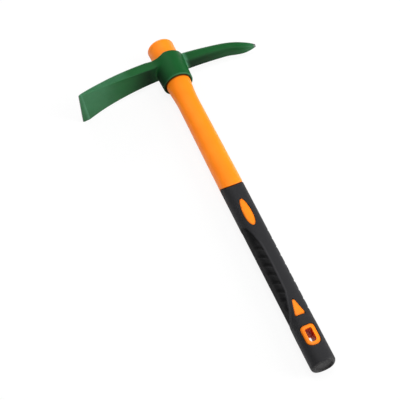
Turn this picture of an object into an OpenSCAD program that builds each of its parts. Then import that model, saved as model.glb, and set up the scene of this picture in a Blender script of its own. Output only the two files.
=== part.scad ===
// Hand pick mattock: a forged head with a pick and an adze, slipped onto a jacketed fibreglass handle.
// The tool lies on its side. The handle runs along Y with its top end at +Y, the pick points
// along +X and the adze along -X. Lengths are worked out from the middle of the eye.

/* [Handle] */
// Overall length of the handle
handle_l = 403; // [360:1:460]
// Height of the handle's top end above the eye
top_stand = 21; // [12:0.5:26]
// Rounding of the top end's rim
top_round = 2.4; // [0.8:0.1:3]
// Width of the handle at its neck, below the eye
neck_w = 22.3; // [21:0.1:23.4]
// Width of the handle where the grip begins
shaft_w = 23.7; // [22.8:0.1:24.6]
// Length over which the handle swells from its neck to its taper
flare_l = 43; // [34:1:54]
// Diameter of the fibreglass rod inside
core_d = 13; // [9:0.5:15]
// Length of the fibreglass rod
core_l = 352; // [300:1:356]

/* [Eye] */
// Outside diameter of the eye at its top
eye_d = 35.2; // [33:0.1:38]
// Outside diameter of the eye at its mouth
eye_mouth_d = 32.4; // [31:0.1:34]
// Height of the eye along the handle
eye_h = 33.2; // [32.8:0.2:38]
// Diameter of the tapered hole at the eye's top
bore_top_d = 28.4; // [27.8:0.1:29]
// Diameter of the tapered hole at the eye's mouth
bore_mouth_d = 27.2; // [26.8:0.1:27.6]
// Length of the taper that bears on the handle
seat_l = 20; // [14:0.5:26]
// Rounding of the eye's rims
rim_round = 1; // [0.6:0.1:1.2]

/* [Adze] */
// Reach of the adze from the handle's axis to its cutting edge
adze_reach = 105.4; // [94:0.2:120]
// Width of the adze at its cutting edge, before the corners are rounded
adze_edge_w = 45.3; // [38:0.1:54]
// Width of the adze where it leaves the eye
adze_root_w = 20.8; // [16:0.1:23]
// Thickness of the adze where it leaves the eye
adze_root_t = 12.2; // [9:0.1:12.4]
// Thickness of the cutting edge
adze_edge_t = 0.9; // [0.6:0.1:2]
// Drop of the cutting edge below the adze's root
adze_drop = 10; // [6:0.2:18]
// Height of the adze's lower face above the middle of the eye, at the root
adze_rise = 4.5; // [2:0.1:4.7]
// Radius of the cutting edge's corners
adze_corner_r = 2.6; // [1.6:0.1:6]

/* [Pick] */
// Reach of the pick from the handle's axis to its point
pick_reach = 93.2; // [86:0.2:112]
// Width of the pick where it leaves the eye, from cheek to cheek
pick_root_w = 17.4; // [13:0.2:20]
// Width of the pick at its shoulder, where the point begins
pick_shoulder_w = 12.8; // [10:0.2:15]
// Thickness of the pick along the handle, where it leaves the eye
pick_root_t = 14; // [11:0.1:14.2]
// Thickness of the pick along the handle, at its shoulder
pick_shoulder_t = 11.7; // [9:0.1:14]
// Reach of the shoulder from the handle's axis
pick_shoulder = 65; // [56:1:76]
// Height of the pick's middle line above the middle of the eye, at the handle's axis
pick_rise = 9.4; // [7:0.1:9.5]
// Drop of the pick's point below its root
pick_drop = 10.2; // [4:0.2:18]
// Further drop of the pick's nose, past its shoulder
pick_nose = 2.6; // [0:0.1:4]
// Size of the blunt point
pick_tip = 2.6; // [1.6:0.1:4]

/* [Grip] */
// Length of the rubber grip at its narrow sides
grip_l = 208.6; // [198:0.2:224]
// Dip of the grip's upper edge on its two cheeks
collar_dip = 7.5; // [2:0.1:10]
// Width of the grip at its waist, above the pommel
grip_w = 23.2; // [22.4:0.1:24.4]
// Width of the pommel
pommel_w = 23.5; // [22.8:0.1:24.8]
// Length of the pommel
pommel_l = 36; // [34:0.5:42]
// Wall of the rubber over the jacket
grip_wall = 2.4; // [1.6:0.1:3]
// Rounding of the butt's edge
butt_round = 3; // [1.5:0.1:4]
// Number of anti-slip grooves on each side
groove_n = 10; // [3:1:11]
// Spacing of the anti-slip grooves
groove_pitch = 9.9; // [7:0.1:10.4]
// Width of one groove
groove_w = 3; // [2.4:0.1:4]
// Depth of one groove
groove_depth = 0.9; // [0.3:0.05:1]
// Height of the lowest groove above the butt
groove_from_butt = 56.5; // [50:0.5:62]

/* [Windows] */
// Height of the oval window's middle above the butt
oval_from_butt = 168.4; // [158:0.2:174]
// Length of the oval window
oval_l = 31.9; // [20:0.1:38]
// Width of the oval window
oval_w = 8.9; // [6:0.1:11]
// Height of the triangular window's middle above the butt
triangle_from_butt = 59.8; // [57:0.2:66]
// Length of the triangular window
triangle_l = 20.4; // [14:0.1:24]
// Width of the triangular window
triangle_w = 10.2; // [7:0.1:12]
// Height of the lanyard hole's middle above the butt
lanyard_from_butt = 27.9; // [24:0.1:30]
// Length of the lanyard hole
lanyard_l = 13.6; // [9:0.1:15]
// Width of the lanyard hole
lanyard_w = 6.4; // [5:0.1:8]
// Width of the jacket's border round the lanyard hole
lanyard_border = 3.6; // [2:0.1:4.2]

/* [Hidden] */

// Clearance of the handle's taper in the eye
seat_gap = 0.06;
// Clearance of the rod and of the rubber over the jacket
mould_gap = 0.03;
// Overrun of every cut past the solid it cuts
overrun = 4;
// Chamfer of the hole at the eye's mouth
mouth_chamfer = 0.6;
// Fillet where the two arms leave the eye
arm_fillet = 5;
// Edge rounding of the adze and corner radius of the triangular window
adze_edge_round = 1.2;
triangle_round = 1.2;
// Length of the ground bevel behind the cutting edge, and the blade's thickness where it begins
adze_bevel_l = 6;
adze_bevel_t = 3;

// Squareness of the handle's section below the taper: 2 is an ellipse
round_section_share = 2;
handle_section_share = 2.4;
// Rounding of the pick's section as a share of its smaller half size
pick_round_share = 0.62;
// Rounding of the adze's root as a share of its half thickness
root_round_share = 0.9;
// Fullness of the pick's point
pick_point_share = 2.6;
// Stretch of the pick over which its nose drops, as shares of its reach
pick_nose_shares = [0.64, 0.91];
// Curve of the pick's middle line
pick_curve_share = 2.1;
// Growth of the adze's width from root to edge
adze_flare_share = 1.6;
// Curve of the adze's lower face
adze_curve_share = 2.6;
// Corner radii of the lanyard hole's flat and round ends as shares of its half width
lanyard_corner_share = 0.45;
lanyard_round_share = 0.9;
// Start of the arms inside the eye's wall, as a share of the eye's diameter
arm_start_share = 0.25;
// Swell above the pommel as a share of its length
pommel_blend_share = 0.3;

// Points round one section of the handle, in a corner of an arm and in an outline's corner
ring_n = 32;
corner_n = 3;
outline_n = 6;
// Steps along a smooth stretch
smooth_n = 8;
round_n = 4;

// Places along the handle
mouth_y = -eye_h / 2;
top_y = eye_h / 2 + top_stand;
butt_y = top_y - handle_l;
seat_low_y = eye_h / 2 - seat_l;
flare_end_y = seat_low_y - flare_l;
grip_top_y = butt_y + grip_l;
pommel_y = butt_y + pommel_l;
blend_y = pommel_y + pommel_l * pommel_blend_share;
core_end_y = top_y - core_l;
half_grip = max(shaft_w, grip_w, pommel_w) / 2;

function mix(a, b, t) = a + (b - a) * t;
function clamp(t) = min(1, max(0, t));
function smooth(t) = clamp(t) * clamp(t) * (3 - 2 * clamp(t));
function unit(v) = v / norm(v);

// Half sizes of the tapered hole, of the bare handle and of the grip at a place along the handle
function bore_r(y) = mix(bore_mouth_d, bore_top_d, (y - mouth_y) / eye_h) / 2;
function taper_r(y) = bore_r(y) - seat_gap;
function shaft_r(y) = mix(shaft_w, neck_w, (y - grip_top_y) / (flare_end_y - grip_top_y)) / 2;
function flare_r(y) = mix(neck_w / 2, taper_r(seat_low_y), smooth((y - flare_end_y) / flare_l));
function bare_r(y) = y >= seat_low_y ? taper_r(y) : y >= flare_end_y ? flare_r(y) : shaft_r(y);
function waist_r(y) = mix(grip_w, shaft_w, clamp((y - blend_y) / (grip_top_y - blend_y))) / 2;
function grip_r(y) = mix(pommel_w / 2, waist_r(y), smooth((y - pommel_y) / (blend_y - pommel_y)));
function squareness(y) = mix(handle_section_share, round_section_share, smooth((y - flare_end_y) / flare_l));

// One section of the handle: a rounded square that turns into a circle at the taper
function bend(c, n) = sign(c) * pow(abs(c), 2 / n);
function handle_ring(y, r) = [for (i = [0 : ring_n - 1]) let (a = 360 * i / ring_n, n = squareness(y))
    [r * bend(cos(a), n), y, r * bend(sin(a), n)]];

// Rings of a rounded rim, from the full radius to the end face
function rim_rings(y_end, side, r, rim) = [for (i = [0 : round_n]) let (a = 90 * i / round_n)
    handle_ring(y_end - side * rim * (1 - sin(a)), r - rim * (1 - cos(a)))];

// One section of an arm of the head: a rectangle with rounded corners
function arm_ring(x, y_mid, half_t, half_w, r) = [for (q = [0 : 3], i = [0 : corner_n])
    let (a = 90 * (q + i / corner_n), sy = q == 0 || q == 3 ? 1 : -1, sz = q < 2 ? 1 : -1)
    [x, y_mid + sy * (half_t - r) + r * cos(a), sz * (half_w - r) + r * sin(a)]];

// An outline with each corner rounded by its own radius
function corner_arc(p, before, after, r) =
    let (u = unit(before - p), v = unit(after - p), half = acos(u * v) / 2, turn = 180 - 2 * half)
    let (mid = p + unit(u + v) * r / sin(half))
    let (start = p + u * r / tan(half) - mid, end = p + v * r / tan(half) - mid)
    [for (i = [0 : outline_n]) let (t = i / outline_n)
        mid + (start * sin((1 - t) * turn) + end * sin(t * turn)) / sin(turn)];
function rounded_outline(points, radii) = let (n = len(points)) [for (i = [0 : n - 1])
    each corner_arc(points[i], points[(i + n - 1) % n], points[(i + 1) % n], radii[i])];

// Steps from one place to another, both ends included
function steps(from, to, n) = [for (i = [0 : n]) mix(from, to, i / n)];

// A closed solid through rings of equally many points
module loft(rings) {
    n = len(rings);
    m = len(rings[0]);
    sides = [for (i = [0 : n - 2], j = [0 : m - 1]) let (k = (j + 1) % m) each [
        [i * m + j, (i + 1) * m + k, i * m + k],
        [i * m + j, (i + 1) * m + j, (i + 1) * m + k]]];
    start = [for (j = [0 : m - 1]) j];
    end = [for (j = [m - 1 : -1 : 0]) (n - 1) * m + j];
    polyhedron([for (ring = rings) each ring], concat([start, end], sides));
}

// Puts the tool on its side with its origin under the middle of its box
module place() {
    translate([(adze_reach - pick_reach) / 2, handle_l / 2 - top_y, half_depth]) children();
}

// Turns a solid that was drawn along Z to lie along the handle
module along_handle() {
    rotate([-90, 0, 0]) children();
}

// Fillet between an arm's cheek and the round eye: where it leaves the arm, where it meets the eye
function cheek_from(half_w) = sqrt(pow(eye_d / 2 + arm_fillet, 2) - pow(half_w + arm_fillet, 2));
function cheek_to(half_w) = cheek_from(half_w) * eye_d / (eye_d + 2 * arm_fillet);
function cheek_fillet(x, half_w) = fillet_at(cheek_from(half_w) - max(x, cheek_to(half_w)));
// Fillet between an arm's upper or lower face and the eye, and how far along it a place lies
function face_fillet(x) = fillet_at(eye_d / 2 + arm_fillet - max(x, eye_d / 2));
function root_share(x) = face_fillet(x) / arm_fillet;
function fillet_at(run) = run <= 0 ? 0 : arm_fillet - sqrt(max(0, pow(arm_fillet, 2) - pow(run, 2)));

module eye_body() {
    rim = [for (i = [0 : round_n]) let (a = 90 * i / round_n) rim_round * [cos(a) - 1, sin(a) - 1]];
    top_rim = [for (p = rim) [eye_d / 2 + p.x, eye_h / 2 + p.y]];
    low_rim = [for (i = [round_n : -1 : 0]) [eye_mouth_d / 2 + rim[i].x, mouth_y - rim[i].y]];
    along_handle() rotate_extrude() polygon(concat([[0, mouth_y]], low_rim, top_rim, [[0, eye_h / 2]]));
}

// The tapered hole, opened by a chamfer at the mouth
module eye_bore() {
    low = mouth_y - overrun;
    high = eye_h / 2 + overrun;
    mouth_r = bore_r(mouth_y);
    along_handle() rotate_extrude()
        polygon([[0, low], [bore_r(low), low], [bore_r(high), high], [0, high]]);
    along_handle() translate([0, 0, low])
        cylinder(h = overrun + mouth_chamfer, r1 = mouth_r + overrun + mouth_chamfer, r2 = mouth_r);
}

// Half width, thickness and lower face of the adze at a distance from the handle's axis
function adze_corner(d) = d >= adze_corner_r ? 0
    : adze_corner_r - sqrt(pow(adze_corner_r, 2) - pow(adze_corner_r - d, 2));
function adze_half_w(x) = mix(adze_root_w, adze_edge_w, pow(x / adze_reach, adze_flare_share)) / 2
    - adze_corner(adze_reach - x) + cheek_fillet(x, adze_root_w / 2);
function adze_blade_t(x) = mix(adze_root_t, adze_bevel_t, pow(x / (adze_reach - adze_bevel_l), 2));
function adze_t(x) = x <= adze_reach - adze_bevel_l ? adze_blade_t(x)
    : mix(adze_bevel_t, adze_edge_t, (x - adze_reach + adze_bevel_l) / adze_bevel_l);
function adze_low_y(x) = adze_rise - adze_drop * pow(x / adze_reach, adze_curve_share);

// Places of the adze's sections, from its cutting edge to inside the eye's wall
adze_corner_x = [for (i = [round_n : -1 : 1]) adze_reach - adze_corner_r * (1 - sin(90 * i / round_n))];
adze_blade_x = steps(adze_reach - max(adze_bevel_l, adze_corner_r), eye_d / 2 + arm_fillet, smooth_n);
adze_root_x = [for (i = [1 : smooth_n]) mix(eye_d / 2 + arm_fillet, eye_d * arm_start_share, i / smooth_n)];
adze_x = concat(adze_corner_x, adze_blade_x, adze_root_x);
half_depth = max(concat([eye_d / 2], [for (x = adze_x) adze_half_w(x)]));

// The arms' fillets lie under them, because their upper faces are level with the eye's top
module adze() {
    loft([for (x = adze_x)
        let (under = face_fillet(x) / 2, half_t = adze_t(x) / 2 + under)
        arm_ring(-x, adze_low_y(x) + adze_t(x) / 2 - under, half_t, adze_half_w(x),
            min(half_t, mix(adze_edge_round, half_t * root_round_share, root_share(x))))]);
}

// Width, thickness and middle of the pick at a distance from the handle's axis
function pick_point(x) = clamp((x - pick_shoulder) / (pick_reach - pick_shoulder));
function pick_run(x) = clamp((x - eye_d / 2) / (pick_shoulder - eye_d / 2));
function pick_shank_w(x) = mix(pick_root_w, pick_shoulder_w, pick_run(x));
function pick_shank_t(x) = mix(pick_root_t, pick_shoulder_t, pick_run(x));
function pick_full(x) = 1 - pow(pick_point(x), pick_point_share);
function pick_half_w(x) = mix(pick_tip, pick_shank_w(x), pick_full(x)) / 2
    + cheek_fillet(x, pick_root_w / 2);
function pick_half_t(x) = mix(pick_tip, pick_shank_t(x), pick_full(x)) / 2;
function pick_nose_at(x) = let (from = pick_nose_shares[0], to = pick_nose_shares[1])
    smooth((x / pick_reach - from) / (to - from));
function pick_mid_y(x) = pick_rise - pick_drop * pow(x / pick_reach, pick_curve_share)
    - pick_nose * pick_nose_at(x);

module pick() {
    root_x = eye_d / 2 + arm_fillet;
    root = steps(eye_d * arm_start_share, root_x, smooth_n);
    shank = [for (i = [1 : smooth_n]) mix(root_x, pick_shoulder, i / smooth_n)];
    point = [for (i = [1 : smooth_n]) mix(pick_shoulder, pick_reach, sin(90 * i / smooth_n))];
    loft([for (x = concat(root, shank, point))
        let (under = face_fillet(x) / 2, half_t = pick_half_t(x) + under, half_w = pick_half_w(x))
        arm_ring(x, pick_mid_y(x) - under, half_t, half_w, pick_round_share * min(half_t, half_w))]);
}

// The forged head: eye, adze and pick in one piece
module pick_head() {
    color([0.10, 0.33, 0.18]) place() difference() {
        union() {
            eye_body();
            adze();
            pick();
        }
        eye_bore();
    }
}

// The grip's outer form, closed at both ends
module grip_form() {
    rims = rim_rings(butt_y, -1, grip_r(butt_y), butt_round);
    waist = steps(grip_top_y, blend_y, smooth_n);
    swell = steps(blend_y, pommel_y, round_n);
    loft(concat([for (y = waist) handle_ring(y, grip_r(y))],
        [for (i = [1 : round_n]) handle_ring(swell[i], grip_r(swell[i]))], rims));
}

// Half size of the jacket's shank under the rubber, spread by a clearance
function shank_r(y, gap) = grip_r(y) - grip_wall + gap;

// Edge of the jacket's shoulder, which dips on the two cheeks, at the bare handle or at the shank
function shoulder_ring(on_shank, gap) = [for (p = handle_ring(grip_top_y, 1))
    let (y = grip_top_y - collar_dip * abs(p.z) - gap, r = on_shank ? shank_r(y, gap) : bare_r(y) + gap)
    [r * p.x, y, r * p.z]];

// Rings of the jacket from its top end over its shoulder to the end of its shank, spread by a clearance
function jacket_rings(gap) =
    let (rims = rim_rings(top_y, 1, taper_r(top_y) + gap, top_round))
    let (top = steps(top_y - top_round, seat_low_y, round_n))
    let (flare = steps(seat_low_y, flare_end_y, smooth_n))
    let (waist = steps(grip_top_y - 2 * collar_dip, blend_y, smooth_n))
    let (swell = steps(blend_y, pommel_y, round_n), end_y = butt_y + grip_wall - gap)
    concat([for (i = [round_n : -1 : 1]) rims[i]],
        [for (y = concat(top, [for (i = [1 : smooth_n]) flare[i]])) handle_ring(y, bare_r(y) + gap)],
        [shoulder_ring(false, gap), shoulder_ring(true, gap)],
        [for (y = concat(waist, [for (i = [1 : round_n]) swell[i]], [end_y]))
            handle_ring(y, shank_r(y, gap))]);

// A prism through the handle from cheek to cheek, at a height above the butt
module through(from_butt, outline) {
    h = 2 * (half_grip + overrun);
    translate([0, butt_y + from_butt, -h / 2]) linear_extrude(height = h) polygon(outline);
}

function oval(l, w) = [for (i = [0 : ring_n - 1])
    let (a = 360 * i / ring_n) [w / 2 * cos(a), l / 2 * sin(a)]];
function triangle(l, w) = rounded_outline([[-w / 2, -l / 2], [w / 2, -l / 2], [0, l / 2]],
    [triangle_round, triangle_round, triangle_round]);
function lanyard(l, w) = let (corner = w / 2 * lanyard_corner_share, end = w / 2 * lanyard_round_share)
    rounded_outline([[-w / 2, -l / 2], [w / 2, -l / 2], [w / 2, l / 2], [-w / 2, l / 2]],
        [end, end, corner, corner]);

// The three windows in the rubber, spread by a clearance
module windows(gap) {
    border = 2 * (lanyard_border + gap);
    through(oval_from_butt, oval(oval_l + 2 * gap, oval_w + 2 * gap));
    through(triangle_from_butt, triangle(triangle_l + 2 * gap, triangle_w + 2 * gap));
    through(lanyard_from_butt, lanyard(lanyard_l + border, lanyard_w + border));
}

// The plastic jacket: tapered top, bare shaft, stepped shank and the pads that fill the windows
module handle_jacket() {
    color([0.98, 0.50, 0.10]) place() difference() {
        union() {
            loft(jacket_rings(0));
            intersection() {
                grip_form();
                windows(0);
            }
        }
        rod(core_l + overrun, core_d + 2 * mould_gap);
        through(lanyard_from_butt, lanyard(lanyard_l, lanyard_w));
    }
}

// A round bar from the rod's lower end up along the handle
module rod(l, d) {
    translate([0, core_end_y, 0]) along_handle() cylinder(h = l, d = d);
}

// The pultruded rod that fills the jacket from its top end
module handle_core() {
    color([0.87, 0.84, 0.70]) place() rod(core_l, core_d);
}

// Shallow grooves across both narrow sides of the grip
module grooves() {
    sink = (pow(groove_w / 2, 2) - pow(groove_depth, 2)) / (2 * groove_depth);
    r = sink + groove_depth;
    h = 2 * (half_grip + overrun);
    for (i = [0 : groove_n - 1], side = [-1, 1]) {
        y = butt_y + groove_from_butt + i * groove_pitch;
        translate([side * (grip_r(y) + sink), y, -h / 2]) cylinder(h = h, r = r);
    }
}

// The moulded rubber grip with its windows, grooves and closed butt
module rubber_grip() {
    color([0.15, 0.15, 0.16]) place() difference() {
        grip_form();
        loft(jacket_rings(mould_gap));
        windows(mould_gap);
        grooves();
    }
}

pick_head();
handle_jacket();
handle_core();
rubber_grip();
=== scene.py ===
"""Looks of a hand pick mattock: a forged, painted head on a jacketed handle with a rubber grip.

Meshes are drawn in millimetres round the handle's axis and then seated in the frame in metres.
The handle runs along Y with its butt at the low end, the pick points along +X, the adze along -X.
"""

import logging
import math
from dataclasses import dataclass, field
from enum import Enum
from typing import Callable, Iterable, Union

import bmesh
import bpy
from bmesh.types import BMEdge, BMesh, BMFace, BMVert
from mathutils import Matrix, Vector


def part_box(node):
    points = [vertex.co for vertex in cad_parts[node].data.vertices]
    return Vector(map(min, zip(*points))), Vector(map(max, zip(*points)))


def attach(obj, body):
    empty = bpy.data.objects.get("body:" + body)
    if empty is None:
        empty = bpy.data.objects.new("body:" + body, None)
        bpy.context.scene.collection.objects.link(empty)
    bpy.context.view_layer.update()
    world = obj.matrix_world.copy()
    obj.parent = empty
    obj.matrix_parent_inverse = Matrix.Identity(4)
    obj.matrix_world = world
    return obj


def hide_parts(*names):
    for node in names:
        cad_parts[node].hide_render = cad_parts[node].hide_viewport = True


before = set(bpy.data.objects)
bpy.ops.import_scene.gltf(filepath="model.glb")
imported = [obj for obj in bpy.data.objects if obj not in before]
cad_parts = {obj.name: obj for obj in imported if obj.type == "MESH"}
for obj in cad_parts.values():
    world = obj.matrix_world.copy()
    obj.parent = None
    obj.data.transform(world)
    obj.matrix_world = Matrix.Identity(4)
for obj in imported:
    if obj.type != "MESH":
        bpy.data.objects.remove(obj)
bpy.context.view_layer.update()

MM = 0.001
SEAM = 1e-4
NO_RUN = 1e-12
NO_CREASE = 180.0
WINDOW_MARGIN = 1.5
WINDOW_PASSES = 3
log = logging.getLogger("pick_mattock")

Colour = tuple[float, float, float]
Triple = tuple[float, float, float]
Point = tuple[float, float]
Ring = list[tuple[Vector, Vector]]
Section = Callable[[float], tuple[float, Ring]]
WHITE: Colour = (1.0, 1.0, 1.0)


def mix(a: float, b: float, share: float) -> float:
    """Value between a and b."""
    return a + (b - a) * share


def clamp(value: float) -> float:
    """Value held between 0 and 1."""
    return min(1.0, max(0.0, value))


def smooth(value: float) -> float:
    """Smooth step from 0 to 1."""
    held = clamp(value)
    return held * held * (3.0 - 2.0 * held)


def steps(start: float, end: float, count: int) -> list[float]:
    """Even steps from start to end, both included."""
    return [mix(start, end, i / count) for i in range(count + 1)]


def quarter(count: int) -> list[float]:
    """Angles of a quarter turn in even steps, from zero."""
    return steps(0.0, math.pi / 2, count)


def srgb(red: int, green: int, blue: int) -> Colour:
    """Linear colour of a screen colour given in 0 to 255.

    Args:
        red: red channel.
        green: green channel.
        blue: blue channel.

    Returns:
        The linear channels.
    """
    def linear(channel: float) -> float:
        """Linear light of one channel."""
        return channel / 12.92 if channel <= 0.04045 else ((channel + 0.055) / 1.055) ** 2.4
    return (linear(red / 255), linear(green / 255), linear(blue / 255))


@dataclass(frozen=True)
class Fade:
    """A share that is whole at one distance and gone at another."""

    whole: float
    gone: float
    share: float = 1.0

    def line(self, distance: float) -> float:
        """Share at a distance, in a straight line between the two."""
        return self.share * clamp((distance - self.gone) / (self.whole - self.gone))

    def curve(self, distance: float) -> float:
        """Share at a distance, in a smooth step between the two."""
        return self.share * smooth((distance - self.gone) / (self.whole - self.gone))


class Body(Enum):
    """Bodies of the frame that pieces ride on."""

    HANDLE = "handle"
    HEAD = "head"


class Slot(Enum):
    """Material slots of the record."""

    PAINT = "head_paint"
    JACKET = "jacket_plastic"
    CORE = "core_fibreglass"
    GRIP = "grip_rubber"


class Mark(Enum):
    """Point attributes that the finishes read."""

    WEAR = "wear"
    EDGE = "edge"
    # grain of the grip's butt; on the jacket this mark carries painted shade lines
    GRAIN_AND_SHADE = "grain"
    PANEL = "panel"
    SHADE = "shade"


# Shader expressions


class Value:
    """A number socket that takes part in Python expressions."""

    def __init__(self, sheet: "ShaderSheet", socket: bpy.types.NodeSocket) -> None:
        """Keeps the socket and the sheet that it belongs to."""
        self.sheet = sheet
        self.socket = socket

    def __add__(self, other: "Operand") -> "Value":
        """Sum."""
        return self.sheet.math("ADD", self, other)

    def __radd__(self, other: "Operand") -> "Value":
        """Sum with a number on the left."""
        return self.sheet.math("ADD", other, self)

    def __sub__(self, other: "Operand") -> "Value":
        """Difference."""
        return self.sheet.math("SUBTRACT", self, other)

    def __rsub__(self, other: "Operand") -> "Value":
        """Difference from a number on the left."""
        return self.sheet.math("SUBTRACT", other, self)

    def __mul__(self, other: "Operand") -> "Value":
        """Product."""
        return self.sheet.math("MULTIPLY", self, other)

    def __rmul__(self, other: "Operand") -> "Value":
        """Product with a number on the left."""
        return self.sheet.math("MULTIPLY", other, self)

    def step(self, low: float, high: float) -> "Value":
        """Smooth step of this value between two limits.

        Args:
            low: value at which the step is 0.
            high: value at which the step is 1.

        Returns:
            The stepped value.
        """
        made = self.sheet.node("ShaderNodeMapRange", {"interpolation_type": "SMOOTHSTEP"},
                               {"Value": self, "From Min": low, "From Max": high})
        return Value(self.sheet, made.outputs["Result"])


Operand = Union[Value, float]
Link = Union[Value, bpy.types.NodeSocket, float, Colour]


class ShaderSheet:
    """The node tree of one material or world, filled by expressions."""

    def __init__(self, tree: bpy.types.NodeTree) -> None:
        """Empties the tree."""
        self.tree = tree
        tree.nodes.clear()

    def node(self, kind: str, settings: dict | None = None,
             inputs: dict[str | int, Link] | None = None) -> bpy.types.Node:
        """Adds one node.

        Args:
            kind: the node's type.
            settings: properties that are set first.
            inputs: values or links by the socket's name or number.

        Returns:
            The new node.
        """
        made = self.tree.nodes.new(kind)
        for name, setting in (settings or {}).items():
            setattr(made, name, setting)
        for name, given in (inputs or {}).items():
            socket = made.inputs[name]
            source = given.socket if isinstance(given, Value) else given
            if isinstance(source, bpy.types.NodeSocket):
                self.tree.links.new(source, socket)
            elif isinstance(source, tuple) and socket.type == "RGBA":
                socket.default_value = (*source, 1.0)
            else:
                socket.default_value = source
        return made

    def math(self, operation: str, a: Operand, b: Operand) -> Value:
        """One Math node."""
        made = self.node("ShaderNodeMath", {"operation": operation}, {0: a, 1: b})
        return Value(self, made.outputs[0])

    def mark(self, mark: Mark) -> Value:
        """A point attribute of the piece."""
        made = self.node("ShaderNodeAttribute", {"attribute_name": mark.value})
        return Value(self, made.outputs["Fac"])

    def place(self, stretch: Triple = (1.0, 1.0, 1.0)) -> bpy.types.NodeSocket:
        """Object coordinates, stretched along each axis.

        Args:
            stretch: factor along each axis.

        Returns:
            The coordinates.
        """
        coords = self.node("ShaderNodeTexCoord")
        made = self.node("ShaderNodeMapping", None,
                         {"Vector": coords.outputs["Object"], "Scale": stretch})
        return made.outputs["Vector"]

    def noise(self, size: float, detail: float = 2.0, stretch: Triple = (1.0, 1.0, 1.0)) -> Value:
        """Smooth noise.

        Args:
            size: size of a feature in millimetres.
            detail: octaves.
            stretch: frequency along each axis.

        Returns:
            Noise round 0.5.
        """
        made = self.node("ShaderNodeTexNoise", None, {"Vector": self.place(stretch),
                                                      "Scale": 1.0 / (size * MM), "Detail": detail})
        return Value(self, made.outputs["Fac"])

    def cells(self, size: float) -> Value:
        """Distance to the nearest of scattered points.

        Args:
            size: spacing of the points in millimetres.

        Returns:
            Distance as a share of the spacing.
        """
        made = self.node("ShaderNodeTexVoronoi", None,
                         {"Vector": self.place(), "Scale": 1.0 / (size * MM)})
        return Value(self, made.outputs["Distance"])

    def blend(self, share: Operand, a: Link, b: Link) -> bpy.types.NodeSocket:
        """Colour between a and b."""
        made = self.node("ShaderNodeMix", {"data_type": "RGBA"}, {0: share, 6: a, 7: b})
        return made.outputs[2]

    def bump(self, height: Value, depth: float, strength: float) -> bpy.types.NodeSocket:
        """Normal bent by a height.

        Args:
            height: the height's share.
            depth: full height in millimetres.
            strength: how far the normal follows.

        Returns:
            The bent normal.
        """
        made = self.node("ShaderNodeBump", None,
                         {"Height": height, "Distance": depth * MM, "Strength": strength})
        return made.outputs["Normal"]

    def ray(self, kind: str) -> Value:
        """Whether a ray is of a kind that the Light Path node names."""
        return Value(self, self.node("ShaderNodeLightPath").outputs[kind])

    def end(self, shader: bpy.types.NodeSocket, kind: str = "ShaderNodeOutputMaterial") -> None:
        """Ends the tree in a shader."""
        self.node(kind, None, {"Surface": shader})

    def close(self, inputs: dict[str | int, Link]) -> None:
        """Ends a material in one principled shader."""
        shader = self.node("ShaderNodeBsdfPrincipled", None, inputs)
        self.end(shader.outputs["BSDF"])


def new_sheet(name: str) -> tuple[bpy.types.Material, ShaderSheet]:
    """A new material with an empty sheet.

    Args:
        name: the material's name.

    Returns:
        The material and its sheet.
    """
    material = bpy.data.materials.new(name)
    material.use_nodes = True
    return material, ShaderSheet(material.node_tree)


# Finishes


@dataclass(frozen=True)
class ForgePaint:
    """Green paint over forged steel, worn off at the point and rubbed pale toward it, with painted
    highlights along edges and rims and painted shade in recesses.
    """

    coat: Colour = srgb(18, 82, 36)
    shade: Colour = srgb(14, 75, 32)
    # pale paint: rubbed toward the pick's point, and painted highlights on rims, edges, ridges and toward
    # the adze's blade
    rubbed_and_highlight: Colour = srgb(68, 122, 90)
    # painted shade for the head's recesses: under the arms' roots, beside the adze and in the mouth
    recess_shade: Colour = srgb(6, 26, 12)
    steel: Colour = srgb(112, 114, 112)
    cloud_mm: float = 26.0
    peel_mm: float = 1.5
    dent_mm: float = 7.0
    speck_mm: float = 0.9
    roughness: float = 0.34
    specular: float = 0.15
    relief_mm: float = 0.12
    relief_strength: float = 0.35

    def material(self) -> bpy.types.Material:
        """Builds the material.

        Returns:
            The material.
        """
        material, sheet = new_sheet("forge_paint")
        cloud = sheet.noise(self.cloud_mm, 3.0)
        peel = sheet.noise(self.peel_mm)
        dents = sheet.noise(self.dent_mm)
        speck = sheet.noise(self.speck_mm, 3.0)
        edge = sheet.mark(Mark.EDGE)
        wear = sheet.mark(Mark.WEAR)
        # pale share from the edge mark: rubbing plus painted highlights
        rub_and_highlight = (edge * (0.55 + cloud * 0.5 + speck * 0.4)).step(0.1, 1.0) * 0.85
        bare = (wear + speck * 0.5 - 0.25).step(0.42, 0.62)
        paint = sheet.blend(cloud.step(0.3, 0.7), self.shade, self.coat)
        paint = sheet.blend(rub_and_highlight, paint, self.rubbed_and_highlight)
        # painted shade in the head's recesses darkens the paint and roughens it
        recess_shade = sheet.mark(Mark.SHADE)
        paint = sheet.blend(recess_shade * 0.9, paint, self.recess_shade)
        height = peel * 0.4 + dents * 0.9 - bare * 0.5
        sheet.close({
            "Base Color": sheet.blend(bare, paint, self.steel),
            "Metallic": bare * 0.75,
            "Roughness": self.roughness + cloud * 0.12 + speck * 0.06 + recess_shade * 0.3,
            "Specular IOR Level": self.specular,
            "Normal": sheet.bump(height, self.relief_mm, self.relief_strength)})
        return material


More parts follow.
